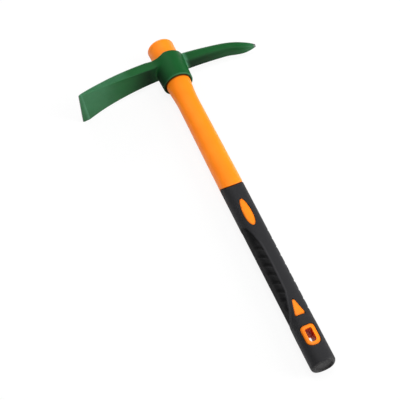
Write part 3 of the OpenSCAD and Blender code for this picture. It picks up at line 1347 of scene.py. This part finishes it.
    def adze(self) -> BMesh:
        """The adze, from its cutting edge to its root, with an edge and a bevel that lean.

        Returns:
            The adze.
        """
        tip, crease = self.adze_reach, self.adze_reach - self.adze_bevel
        corner = max(self.adze_corners)
        near = [tip - corner * (1 - math.sin(a)) for a in reversed(quarter(self.adze_corner_steps)[1:])]
        bevel = [tip - corner - self.adze_land, crease + self.adze_crease, crease - self.adze_crease]
        root = self.eye_d / 2 + self.adze_fillets.cheek
        blade = steps(crease - self.adze_blade_gap, root + self.root_gap, self.adze_rows)
        rows = [self.arm_row(self.adze_section, x, -1) for x in [*near, *bevel, *blade]]
        for spot in (spot for row in rows for spot in row):
            side, off = spot.z / (self.adze_edge_w / 2), tip + spot.x
            along = Fade(0.0, tip / 2).curve(off)
            border = smooth(off / self.adze_bevel) * self.adze_lean.curve(off / self.adze_bevel)
            spot.x += (self.adze_skew * along - self.adze_bevel_skew * border) * side
        return wrapped([*rows, *self.root_rows(self.adze_section, self.adze_fillets, -1)])

    def pick(self) -> BMesh:
        """The pick, from its root to its blunt point.

        Returns:
            The pick.
        """
        root = self.eye_d / 2 + self.pick_fillets.cheek
        shank = steps(root + self.root_gap, self.pick_shoulder, self.pick_rows)
        point = [mix(self.pick_shoulder, self.pick_reach, math.sin(a))
                 for a in quarter(self.pick_rows)[1:]]
        rows = [self.arm_row(self.pick_section, x, 1) for x in [*shank, *point]]
        return wrapped([*reversed(self.root_rows(self.pick_section, self.pick_fillets, 1)), *rows])

    def bare(self, spot: Vector) -> float:
        """Bare steel along the cutting edge and at the pick's point.

        Args:
            spot: place from the eye's middle.

        Returns:
            How bare it is.
        """
        edge_x = self.adze_skew * spot.z / (self.adze_edge_w / 2) - self.adze_reach
        return max(self.wear.bare_edge.line(spot.x - edge_x),
                   self.wear.bare_point.line(self.pick_reach - spot.x))

    def rubbed_and_highlight(self, spot: Vector) -> float:
        """Paint made pale on either side of the head: rubbed toward the pick's point, with painted
        highlights on the mouth's rim and beside the pick's root.

        Args:
            spot: place from the eye's middle.

        Returns:
            How pale it is.
        """
        wear = self.wear
        if spot.x < -self.eye_d / 2:
            return self.adze_highlight(spot)
        beside = wear.pale_root.curve(spot.x) * wear.pale_root_end.line(spot.x - self.eye_d / 2)
        return max(wear.pale_point.line(self.pick_reach - spot.x),
                   wear.pale_mouth.curve(spot.y + self.top),
                   beside * wear.pale_root_low.curve(spot.y))

    def adze_highlight(self, spot: Vector) -> float:
        """Painted highlights on the adze: along its ridges and bevel line, on its cheeks and toward its
        blade.

        Args:
            spot: place from the eye's middle.

        Returns:
            How much painted highlight it gets.
        """
        wear = self.wear
        side = spot.z / (self.adze_edge_w / 2)
        off = spot.x + self.adze_reach - self.adze_skew * side
        middle, ring = self.adze_section(min(-spot.x, self.adze_reach))
        low, wide = (max(abs(point[i]) for point, _ in ring) for i in (0, 1))
        ridge = math.hypot(spot.y - middle + low, abs(spot.z) - wide)
        border = abs(off - self.adze_bevel + self.adze_bevel_skew * side)
        blade = wear.pale_blade_share + wear.pale_blade_lean * side
        return max(wear.pale_ridge.line(ridge), wear.pale_bevel.line(border),
                   wear.pale_cheek.line(wide - abs(spot.z)) * wear.pale_cheek_from.curve(-spot.x),
                   blade * wear.pale_blade_from.curve(-spot.x))

    def painted_shade(self, spot: Vector, out: Vector) -> float:
        """Painted shade: under the arms' roots, beside the adze and in the mouth.

        Args:
            spot: place from the eye's middle.
            out: direction that the surface faces.

        Returns:
            How much painted shade it gets.
        """
        wear, eye_r = self.wear, self.eye_d / 2
        reach = wear.dark_adze if spot.x < 0 else wear.dark_pick
        under = wear.dark_facing.curve(-out.y) * reach.curve(abs(spot.x) - eye_r)
        beside = wear.dark_flank.curve(-spot.x / eye_r) * wear.dark_flank_top.curve(spot.y)
        far = math.hypot(spot.x, spot.z)
        mouth = wear.dark_mouth.curve(self.eye_mouth_d / 2 - self.rim - far)
        mouth *= wear.dark_mouth_low.curve(spot.y + self.top)
        return mix(max(beside, mouth), under, wear.off_eye.curve(far - eye_r))

    def mark_wear_and_light(self, bm: BMesh, zero_y: float) -> None:
        """Marks bare steel, paint rubbed pale with painted highlights, and painted shade in recesses on
        the joined head.

        Args:
            bm: the head in its place.
            zero_y: place of the eye's middle along the handle.
        """
        middle = Vector((self.place.axis_x, zero_y, self.place.axis_z))
        bare, rubbed_and_highlight, painted_shade = (bm.verts.layers.float.new(mark.value)
                                for mark in (Mark.WEAR, Mark.EDGE, Mark.SHADE))
        bm.normal_update()
        for vert in bm.verts:
            spot = (vert.co - middle) / MM
            vert[bare] = self.bare(spot)
            vert[rubbed_and_highlight] = self.rubbed_and_highlight(spot)
            vert[painted_shade] = self.painted_shade(spot, vert.normal)

    def build(self) -> bpy.types.Object:
        """Joins eye, adze and pick, and dresses the head.

        Returns:
            The head.
        """
        zero_y = self.place.top_y - (self.form.eye_stand + self.top) * MM
        parts = []
        for name, bm in (("eye", self.eye()), ("adze", self.adze()), ("pick", self.pick())):
            self.place.seat(bm, zero_y)
            parts.append(to_object(bm, name, NO_CREASE))
        head = parts[0]
        for arm in parts[1:]:
            union = head.modifiers.new(arm.name, "BOOLEAN")
            union.operation = "UNION"
            union.solver = "EXACT"
            union.object = arm
        shown = head.evaluated_get(bpy.context.evaluated_depsgraph_get())
        bm = bmesh.new()
        bm.from_mesh(shown.to_mesh())
        shown.to_mesh_clear()
        for part in parts:
            bpy.data.objects.remove(part)
        self.mark_wear_and_light(bm, zero_y)
        made = to_object(bm, "forged_head", self.crease_deg)
        made.data.materials.append(self.finish.material())
        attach(made, Body.HEAD.value)
        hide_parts("pick_head")
        return made


@dataclass
class HandleJacket:
    """The orange jacket: tapered top, bare shaft, shank under the rubber and window pads."""

    form: HandleForm
    place: HandleFrame
    windows: Windows
    core_d: float = 13.0
    core_l: float = 352.0
    core_gap: float = 0.03
    core_chamfer: float = 0.3
    core_margin: float = 1.0
    top_round: float = 2.4
    top_land: float = 0.4
    half_steps: int = 80
    round_steps: int = 8
    land_rows: int = 4
    seat_rows: int = 14
    flare_rows: int = 24
    shaft_rows: int = 26
    row_gaps: Triple = (1.0, 2.0, 4.0)
    shaft_end: float = 2.0
    mouth_ring: float = 1.6
    ring_shares: tuple[float, ...] = (1.6, 0.8, 0.0, -0.5, -1.0)
    ring_flat_share: float = 0.6
    edge_lip: tuple[Point, ...] = ((0.0, 1.2), (0.15, 0.95))
    edge_groove: float = 0.8
    edge_groove_h: float = 0.6
    edge_shade: Fade = Fade(0.7, 1.0)
    shank_top_gap: float = 0.2
    shank_coarse: tuple[float, int] = (46.0, 30)
    shank_fine: tuple[float, float, int] = (45.5, 4.0, 80)
    shank_open_top: float = 48.0
    end_gap: float = 0.1
    end_insets: Point = (0.4, 1.5)
    end_chamfer: float = 0.2
    seam: float = 0.07
    seam_ends: Point = (3.0, 4.0)
    pad_gap: float = 0.22
    pad_sink: float = 0.12
    pad_cell: float = 0.5
    pad_margin: float = 1.0
    pad_swell: float = 0.28
    pad_lip: tuple[RimStep, ...] = (RimStep(-0.12, 0.03), RimStep(-0.24, 0.14), RimStep(-0.28, 0.3))
    pad_root: float = 0.4
    pad_edge_shade: Fade = Fade(0.12, 0.42, 0.6)
    boss_gap: float = 0.05
    hole_lip_w: float = 0.45
    hole_lip: tuple[RimStep, ...] = (RimStep(0.15, 0.04), RimStep(0.35, 0.2), RimStep(0.45, 0.5))
    hole_rows: Triple = (2.0, 5.0, 8.0)
    hole_skin_z: float = 8.0
    hollow_wall: Fade = Fade(0.2, 0.4)
    hollow_depth: Fade = Fade(1.5, 0.0)
    crease_deg: float = 35.0
    finish: JacketPlastic = field(default_factory=JacketPlastic)

    def profile(self) -> list[Point]:
        """Outline of the jacket's half section, from its hole over its top down to its end.

        Returns:
            Radius and height of each point.
        """
        form, grip = self.form, self.form.grip_l
        hole = self.core_d / 2 + self.core_gap
        bottom = form.length - self.core_l
        top_r = form.bare_r(form.length)
        points = [(0.0, bottom), (hole, bottom), (hole, form.length - self.core_chamfer),
                  (hole + self.core_chamfer, form.length)]
        points += [(r, form.length) for r in
                   steps(hole + 2 * self.core_chamfer, top_r - self.top_round - self.top_land,
                         self.land_rows)]
        points += [(top_r - self.top_round * (1 - math.cos(a)),
                    form.length - self.top_round * (1 - math.sin(a)))
                   for a in reversed(quarter(self.round_steps))]
        below_top, below_seat, below_flare = self.row_gaps
        # The ring's rows reach below the flare's first row, so the outline runs back on itself there
        ring = [form.mouth_h + share * self.mouth_ring for share in self.ring_shares]
        seat = [*steps(form.length - self.top_round - below_top, form.seat_low_h, self.seat_rows), *ring]
        flare = steps(form.seat_low_h - below_seat, form.flare_low_h, self.flare_rows)
        shaft = steps(form.flare_low_h - below_flare, grip + self.shaft_end, self.shaft_rows)
        points += [(form.bare_r(h), h) for h in [*sorted(seat, reverse=True), *flare, *shaft]]
        points += [(form.bare_r(grip) - sink, grip + rise)
                   for sink, rise in (*self.edge_lip, (self.edge_groove, self.edge_groove_h))]
        shank = [*steps(grip + self.shank_top_gap, *self.shank_coarse), *steps(*self.shank_fine)]
        points += [(form.grip_r(h) - form.grip_wall, h) for h in shank]
        end_r, end_h = form.grip_r(0.0) - form.grip_wall, form.grip_wall + self.end_gap
        rim, flat = self.end_insets
        return [*points, (end_r - rim, end_h + self.end_chamfer), (end_r - flat, end_h),
                (end_r / 2, end_h), (0.0, end_h)]

    def shell(self) -> BMesh:
        """The shell with its squarer section, mould line and lanyard opening.

        Returns:
            The shell on both cheeks.
        """
        form = self.form
        bm = half_turned(self.profile(), self.half_steps)
        hole = self.core_d / 2 + self.core_margin
        seam_low, seam_high = form.grip_l + self.seam_ends[0], form.mouth_h - self.seam_ends[1]
        contact_shade = bm.verts.layers.float.new(Mark.GRAIN_AND_SHADE.value)
        for vert in bm.verts:
            x, h, z = vert.co
            far = math.hypot(x, z)
            if far < hole:
                continue
            # painted shade: a dark ring under the eye's mouth and a dark line at the grip's top edge
            mouth = (h - form.mouth_h) / self.mouth_ring
            vert[contact_shade] = max(clamp(1.0 + min(mouth, self.ring_flat_share - mouth)),
                              self.edge_shade.line(h - form.grip_l))
            factor = form.squared(x, z, h)
            if abs(z) < SEAM and seam_low < h < seam_high:
                factor *= 1 + self.seam / far
            vert.co = (x * factor, form.dipped(x * factor, z * factor, h), z * factor)

        def shank(x: float, h: float) -> float:
            """Height of the shank's skin."""
            return form.cheek_z(x, h, form.grip_wall)

        def on_shank(face: BMFace) -> bool:
            """Whether a face lies on the shank's skin."""
            middle = face.calc_center_median()
            return middle.y < self.shank_open_top and math.hypot(middle.x, middle.z) > hole
        outline = self.windows.border(-self.boss_gap)
        rim = open_window(bm, outline, on_shank, False, shank)
        fold_rim(bm, rim, outline, [RimStep(0.0, form.pommel_w)], shank)
        mirror_cheeks(bm)
        return bm

    def pad(self, outline: Outline, hole: Outline | None) -> BMesh:
        """A pad that fills a window, on both cheeks.

        Args:
            outline: the pad's edge.
            hole: a hole through the handle, or None.

        Returns:
            The two pads, or one boss right through where there is a hole.
        """
        (low_x, low_h), (high_x, high_h) = outline.reach()
        wide, tall = (side + 2 * self.pad_margin for side in (high_x - low_x, high_h - low_h))
        bm = bmesh.new()
        bmesh.ops.create_grid(bm, x_segments=round(wide / self.pad_cell),
                              y_segments=round(tall / self.pad_cell), size=0.5)
        for vert in bm.verts:
            x = (low_x + high_x) / 2 + vert.co.x * wide
            h = (low_h + high_h) / 2 + vert.co.y * tall
            vert.co = (x, h, self.skin(x, h))
        through = self.form.pommel_w
        depth = through if hole else self.form.grip_wall + self.pad_root
        rim = open_window(bm, outline, lambda face: True, True, self.skin)
        last = fold_rim(bm, rim, outline, [*self.pad_lip, RimStep(-self.pad_swell, depth)], self.skin)
        if hole:
            inner = open_window(bm, hole, lambda face: face.calc_center_median().z > self.hole_skin_z,
                                False, self.skin)
            down = [RimStep(self.hole_lip_w, d) for d in (*self.hole_rows, through)]
            fold_rim(bm, inner, hole, [*self.hole_lip, *down], self.skin)
        else:
            bmesh.ops.holes_fill(bm, edges=edges_between(last), sides=0)
        # painted shade line round the pad's edge
        mark_points(bm, Mark.GRAIN_AND_SHADE, lambda spot: self.pad_edge_shade.line(
            abs(outline.nearest(spot.x, spot.y)[0] + self.pad_swell)))
        mirror_cheeks(bm)
        return bm

    def hollow(self, spot: Vector) -> float:
        """Painted shade down in the lanyard hole, by how far a place lies down in it.

        Args:
            spot: place from the butt on the handle's axis.

        Returns:
            Share of the full painted shade.
        """
        sunk = self.skin(spot.x, spot.y) - abs(spot.z)
        if abs(spot.x) > self.windows.lanyard_w or spot.y > 2 * self.windows.lanyard_h:
            return 0.0
        away = abs(self.windows.lanyard().nearest(spot.x, spot.y)[0])
        return self.hollow_wall.line(away) * self.hollow_depth.curve(sunk)

    def skin(self, x: float, h: float) -> float:
        """Height of a pad's face."""
        return self.form.cheek_z(x, h) - self.pad_sink

    def build(self) -> bpy.types.Object:
        """Joins shell and pads, and dresses the jacket.

        Returns:
            The jacket.
        """
        inset = -self.pad_gap - self.pad_swell
        bm = self.shell()
        for outline, hole in ((self.windows.oval(inset), None), (self.windows.triangle(inset), None),
                              (self.windows.border(inset), self.windows.lanyard(self.hole_lip_w))):
            pad = self.pad(outline, hole)
            spare = bpy.data.meshes.new("pad")
            pad.to_mesh(spare)
            pad.free()
            bm.from_mesh(spare)
            bpy.data.meshes.remove(spare)
        # painted shade in the lanyard hole
        mark_points(bm, Mark.SHADE, self.hollow)
        self.place.seat(bm, self.place.butt_y)
        made = to_object(bm, "orange_jacket", self.crease_deg)
        made.data.materials.append(self.finish.material())
        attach(made, Body.HANDLE.value)
        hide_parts("handle_jacket")
        return made


@dataclass
class RubberGrip:
    """The rubber grip: smooth top, ribbed sides with a raised spine, windows and dished butt."""

    form: HandleForm
    place: HandleFrame
    windows: Windows
    half_steps: int = 98
    row_step: float = 0.6
    top_round: float = 0.5
    butt_round: float = 3.0
    lip_steps: int = 4
    butt_steps: int = 8
    butt_grain: Fade = Fade(1.4, 2.4)
    skin_t: float = 0.8
    dish_r: float = 8.4
    dish_depth: float = 1.5
    dish_lip: Point = (0.3, 0.12)
    dish_wall: float = 0.35
    dish_floor_inset: float = 1.5
    dish_rows: int = 8
    inner_gap: float = 0.03
    inner_floor_r: float = 5.0
    inner_rows: tuple[tuple[float, float, int], ...] = ((6.0, 72.0, 72), (74.0, 144.0, 20),
                                                        (146.0, 185.0, 58))
    inner_top: float = 188.0
    inner_top_rows: int = 6
    spine_border: tuple[Point, ...] = ((44.7, 12.4), (50.0, 9.9), (59.0, 7.0), (70.8, 4.3), (77.2, 2.7),
                                       (90.6, 2.4), (109.6, 2.0), (129.2, 2.5), (140.7, 4.3),
                                       (151.4, 6.9), (160.0, 12.4))
    spine_ease_share: float = 0.5
    panel_depth: float = 0.6
    panel_edge: float = 1.1
    ridge: float = 0.16
    crest_inset: float = 0.8
    crest_w: float = 1.0
    crest_fade: Fade = Fade(128.0, 144.0)
    rib_from: float = 5.0
    rib_fade: Fade = Fade(128.0, 138.0)
    rib_pitch: float = 9.9
    rib_rise: float = 0.5
    rib_slant: float = 0.75
    rib_flat_share: float = 0.62
    rib_soft_share: float = 0.1
    rib_low_share: float = 0.55
    rib_highlight_share: float = 0.1
    rib_lift_share: float = 0.35
    notch_low: float = 56.5
    notch_count: int = 10
    notch_depth: float = 0.9
    notch_w: float = 4.0
    notch_fade: Fade = Fade(4.8, 8.0)
    window_gap: float = 0.6
    window_rim: tuple[RimStep, ...] = (RimStep(0.1, 0.03), RimStep(0.22, 0.14), RimStep(0.26, 0.32),
                                       RimStep(0.26, 1.2))
    crease_deg: float = 40.0
    finish: GripRubber = field(default_factory=GripRubber)

    def profile(self) -> list[Point]:
        """Outline of the grip's half section, from inside its butt over its top to its end.

        Returns:
            Radius and height of each point.
        """
        form, wall = self.form, self.form.grip_wall - self.inner_gap
        rows = [wall]
        for low, high, count in self.inner_rows:
            rows += steps(low, high, count)
        rows += steps(self.inner_top, form.grip_l, self.inner_top_rows)
        inner = [(0.0, wall), (self.inner_floor_r, wall), *((form.grip_r(h) - wall, h) for h in rows)]
        top_r, butt_r = form.grip_r(form.grip_l), form.grip_r(0.0)
        lip = [(top_r - self.top_round * (1 - math.cos(a)),
                form.grip_l - self.top_round * (1 - math.sin(a)))
               for a in reversed(quarter(self.lip_steps))]
        count = round((form.grip_l - self.top_round - self.butt_round) / self.row_step)
        outer = steps(form.grip_l - self.top_round, self.butt_round, count)[1:-1]
        butt = [(butt_r - self.butt_round * (1 - math.cos(a)), self.butt_round * (1 - math.sin(a)))
                for a in quarter(self.butt_steps)]
        lip_w, lip_h = self.dish_lip
        dish = [(self.dish_r + lip_w, 0.0), (self.dish_r, lip_h),
                (self.dish_r - self.dish_wall, self.dish_depth - lip_w),
                (self.dish_r - 2 * self.dish_wall, self.dish_depth)]
        floor = [(r, self.dish_depth)
                 for r in steps(self.dish_r - self.dish_floor_inset, 0.0, self.dish_rows)]
        return [*inner, *lip, *((form.grip_r(h), h) for h in outer), *butt, *dish, *floor]

    def border(self, h: float) -> float:
        """Distance of the spine's edge from the cheek's middle line.

        Args:
            h: height above the butt.

        Returns:
            The distance.
        """
        points = self.spine_border
        for (low, a), (high, b) in zip(points, points[1:]):
            if low < h <= high:
                share = (h - low) / (high - low)
                return mix(a, b, mix(share, smooth(share), self.spine_ease_share))
        return points[0][1]

    def panel(self, past: float, turn: float, h: float) -> Triple:
        """Relief of the ribbed panel on the adze's side.

        Args:
            past: distance past the spine's edge.
            turn: distance round the handle from its side.
            h: height above the butt.

        Returns:
            Rise of the skin, its share of painted highlight on the spine's crest and rib tops, and its
            share of painted shade over the ribbed panel.
        """
        panel = smooth(past / self.panel_edge)
        crest = math.exp(-((past + self.crest_inset) / self.crest_w) ** 2) * self.crest_fade.curve(h)
        count = (h + self.rib_slant * turn) / self.rib_pitch
        share = count - math.floor(count)
        rib = smooth(min(share, self.rib_flat_share - share) / self.rib_soft_share + 0.5)
        rib *= mix(self.rib_low_share, 1.0, share / self.rib_flat_share) * self.rib_fade.curve(h)
        rib *= Fade(2 * self.rib_from, self.rib_from).curve(turn)
        sunk = self.panel_depth * smooth(turn / self.rib_from)
        rise = self.ridge * crest + panel * (self.rib_rise * rib - sunk)
        # the second value is painted highlight on the spine's crest and rib tops, the third painted shade
        # over the panel, lifted on the ribs
        return (min(rise, self.ridge), crest + panel * rib * self.rib_highlight_share,
                panel * (1 - self.rib_lift_share * rib))

    def notch(self, turn: float, h: float) -> float:
        """Depth of the notches on the pick's side.

        Args:
            turn: distance round the handle from its side.
            h: height above the butt.

        Returns:
            The depth.
        """
        half = self.rib_pitch / 2
        past = h - self.notch_low + half
        if not 0.0 < past < self.notch_count * self.rib_pitch:
            return 0.0
        off = past % self.rib_pitch - half
        return self.notch_depth * smooth(1 - abs(off) / (self.notch_w / 2)) * self.notch_fade.curve(turn)

    def relief(self, x: float, z: float, h: float) -> Triple:
        """Relief of the grip's skin.

        Args:
            x: place across, negative on the adze's side.
            z: height above the axis.
            h: height above the butt.

        Returns:
            Rise of the skin, its share of painted highlight on the spine's crest and rib tops, and its
            share of painted shade over the ribbed panel.
        """
        turn = math.atan2(z, abs(x)) * self.form.grip_r(h)
        if x < 0:
            return self.panel(-x - self.border(h), turn, h)
        return -self.notch(turn, h), 0.0, 0.0

    def shell(self) -> BMesh:
        """The shell with its relief and windows.

        Returns:
            The shell on both cheeks.
        """
        form = self.form
        bm = half_turned(self.profile(), self.half_steps)
        # ridge_highlight carries painted highlight and panel carries painted shade
        ridge_highlight = bm.verts.layers.float.new(Mark.EDGE.value)
        grain = bm.verts.layers.float.new(Mark.GRAIN_AND_SHADE.value)
        panel = bm.verts.layers.float.new(Mark.PANEL.value)
        for vert in bm.verts:
            x, h, z = vert.co
            far = math.hypot(x, z)
            factor = form.squared(x, z, h)
            if far > form.grip_r(h) - self.skin_t and self.butt_round < h < form.grip_l - self.top_round:
                rise, vert[ridge_highlight], vert[panel] = self.relief(x * factor, z * factor, h)
                factor *= 1 + rise / far
            if far < form.grip_r(0.0) - self.skin_t:
                vert[grain] = self.butt_grain.curve(h)
            vert.co = (x * factor, form.dipped(x * factor, z * factor, h), z * factor)

        def outer(face: BMFace) -> bool:
            """Whether a face lies on the outer skin."""
            middle = face.calc_center_median()
            return math.hypot(middle.x, middle.z) > form.grip_r(middle.y) - form.grip_wall / 2

        def inner(face: BMFace) -> bool:
            """Whether a face lies on the inner skin."""
            return not outer(face) and face.calc_center_median().y > form.grip_wall

        def lining(x: float, h: float) -> float:
            """Height of the inner skin."""
            return form.cheek_z(x, h, form.grip_wall - self.inner_gap)
        gap = self.window_gap
        for outline, opening in ((self.windows.oval(gap), self.windows.oval()),
                                 (self.windows.triangle(gap), self.windows.triangle()),
                                 (self.windows.border(gap), self.windows.border())):
            rim = open_window(bm, outline, outer, False, form.cheek_z)
            last = fold_rim(bm, rim, outline, self.window_rim, form.cheek_z)
            below = open_window(bm, opening, inner, False, lining)
            loops = [edge for edge in edges_between(last) + edges_between(below) if edge.is_boundary]
            bmesh.ops.bridge_loops(bm, edges=loops)
        mirror_cheeks(bm)
        return bm

    def build(self) -> bpy.types.Object:
        """Builds and dresses the grip.

        Returns:
            The grip.
        """
        bm = self.shell()
        self.place.seat(bm, self.place.butt_y)
        made = to_object(bm, "black_grip", self.crease_deg)
        made.data.materials.append(self.finish.material())
        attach(made, Body.HANDLE.value)
        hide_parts("rubber_grip")
        return made


@dataclass
class HandleCore:
    """The fibreglass rod, which keeps its solid and gets a finish."""

    finish: FibreglassRod = field(default_factory=FibreglassRod)

    def build(self) -> bpy.types.Object:
        """Dresses the rod's solid.

        Returns:
            The rod.
        """
        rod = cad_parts["handle_core"]
        rod.data.materials.clear()
        rod.data.materials.append(self.finish.material())
        return rod


# Studio


@dataclass(frozen=True)
class Lamp:
    """A soft lamp: where it stands from the tool's middle, its size and its power."""

    name: str
    place: Triple
    size: float
    power: float


@dataclass
class Studio:
    """Floor, lamps, world and camera."""

    image_px: float = 400.0
    focal_px: float = 1095.43
    sensor_mm: float = 36.0
    azimuth: float = -15.757
    elevation: float = 57.293
    roll: float = -7.682
    distance: float = 1.06448
    target: Triple = (-0.0278, 0.005, 0.022155)
    clip: Point = (0.01, 100.0)
    ambient: float = 0.43
    mirrored: float = 0.2
    floor_size: float = 30.0
    floor_roll: float = 2.26
    floor_rise: float = 0.00431
    lamps: tuple[Lamp, ...] = (Lamp("key", (1.03, -0.65, 0.45), 0.6, 11.4),
                               Lamp("high", (0.78, -0.39, 0.97), 0.6, 5.4),
                               Lamp("back", (0.0, 1.25, 0.37), 0.6, 8.1),
                               Lamp("top", (0.0, 0.0, 1.3), 0.6, 6.5))
    finish: StudioWhite = field(default_factory=StudioWhite)

    def floor(self) -> bpy.types.Object:
        """A wide floor, tilted to touch the eye's cheek and the adze's low corner.

        Returns:
            The floor.
        """
        bm = bmesh.new()
        bmesh.ops.create_grid(bm, x_segments=1, y_segments=1, size=self.floor_size / 2)
        bmesh.ops.rotate(bm, verts=bm.verts, cent=(0, 0, 0),
                         matrix=Matrix.Rotation(math.radians(-self.floor_roll), 3, "Y"))
        bmesh.ops.translate(bm, verts=bm.verts, vec=(0, 0, self.floor_rise))
        made = to_object(bm, "studio_floor", NO_CREASE)
        made.data.materials.append(self.finish.material())
        return made

    def world(self) -> None:
        """White where it is seen, softer where it lights."""
        world = bpy.data.worlds.new("studio")
        world.use_nodes = True
        sheet = ShaderSheet(world.node_tree)
        seen, mirrored = sheet.ray("Is Camera Ray"), sheet.ray("Is Glossy Ray")
        level = self.ambient + seen * (1 - self.ambient) + mirrored * (self.mirrored - self.ambient)
        sky = sheet.node("ShaderNodeBackground", None, {"Color": WHITE, "Strength": level})
        sheet.end(sky.outputs["Background"], "ShaderNodeOutputWorld")
        bpy.context.scene.world = world

    def light(self) -> None:
        """Sets up the lamps, each turned to the tool's middle."""
        for lamp in self.lamps:
            data = bpy.data.lights.new(lamp.name, "AREA")
            data.shape = "DISK"
            data.size = lamp.size
            data.energy = lamp.power
            made = bpy.data.objects.new(lamp.name, data)
            made.location = lamp.place
            made.rotation_euler = (-Vector(lamp.place)).to_track_quat("-Z", "Y").to_euler()
            bpy.context.scene.collection.objects.link(made)

    def camera(self) -> None:
        """Sets the camera at the view that was fitted to the picture."""
        az, el, roll = (math.radians(a) for a in (self.azimuth, self.elevation, self.roll))
        back = Vector((math.sin(az) * math.cos(el), -math.cos(az) * math.cos(el), math.sin(el)))
        level = Vector((math.cos(az), math.sin(az), 0.0))
        rise = back.cross(level)
        right = level * math.cos(roll) + rise * math.sin(roll)
        up = rise * math.cos(roll) - level * math.sin(roll)
        data = bpy.data.cameras.new("camera")
        data.sensor_width = self.sensor_mm
        data.lens = self.focal_px / self.image_px * self.sensor_mm
        data.clip_start, data.clip_end = self.clip
        made = bpy.data.objects.new("camera", data)
        turn = Matrix((right, up, back)).transposed().to_4x4()
        made.matrix_world = Matrix.Translation(Vector(self.target) + back * self.distance) @ turn
        bpy.context.scene.collection.objects.link(made)
        bpy.context.scene.camera = made

    def build(self) -> None:
        """Sets up the whole studio."""
        self.floor()
        self.world()
        self.light()
        self.camera()
        bpy.context.scene.view_settings.view_transform = "Standard"


def report(piece: bpy.types.Object) -> None:
    """Logs a piece's name and size."""
    log.info("%s: %d faces, %.0f x %.0f x %.0f mm", piece.name, len(piece.data.polygons),
             *(side / MM for side in piece.dimensions))


def main() -> None:
    """Builds the studio, then the pieces in order."""
    logging.basicConfig(level=logging.INFO, format="%(message)s")
    place = HandleFrame.read()
    form = HandleForm(length=(place.top_y - place.butt_y) / MM,
                      grip_l=(place.grip_top_y - place.butt_y) / MM)
    windows = Windows()
    Studio().build()
    for piece in (PickHead(form, place), HandleJacket(form, place, windows),
                  RubberGrip(form, place, windows), HandleCore()):
        report(piece.build())


if __name__ == "__main__":
    main()
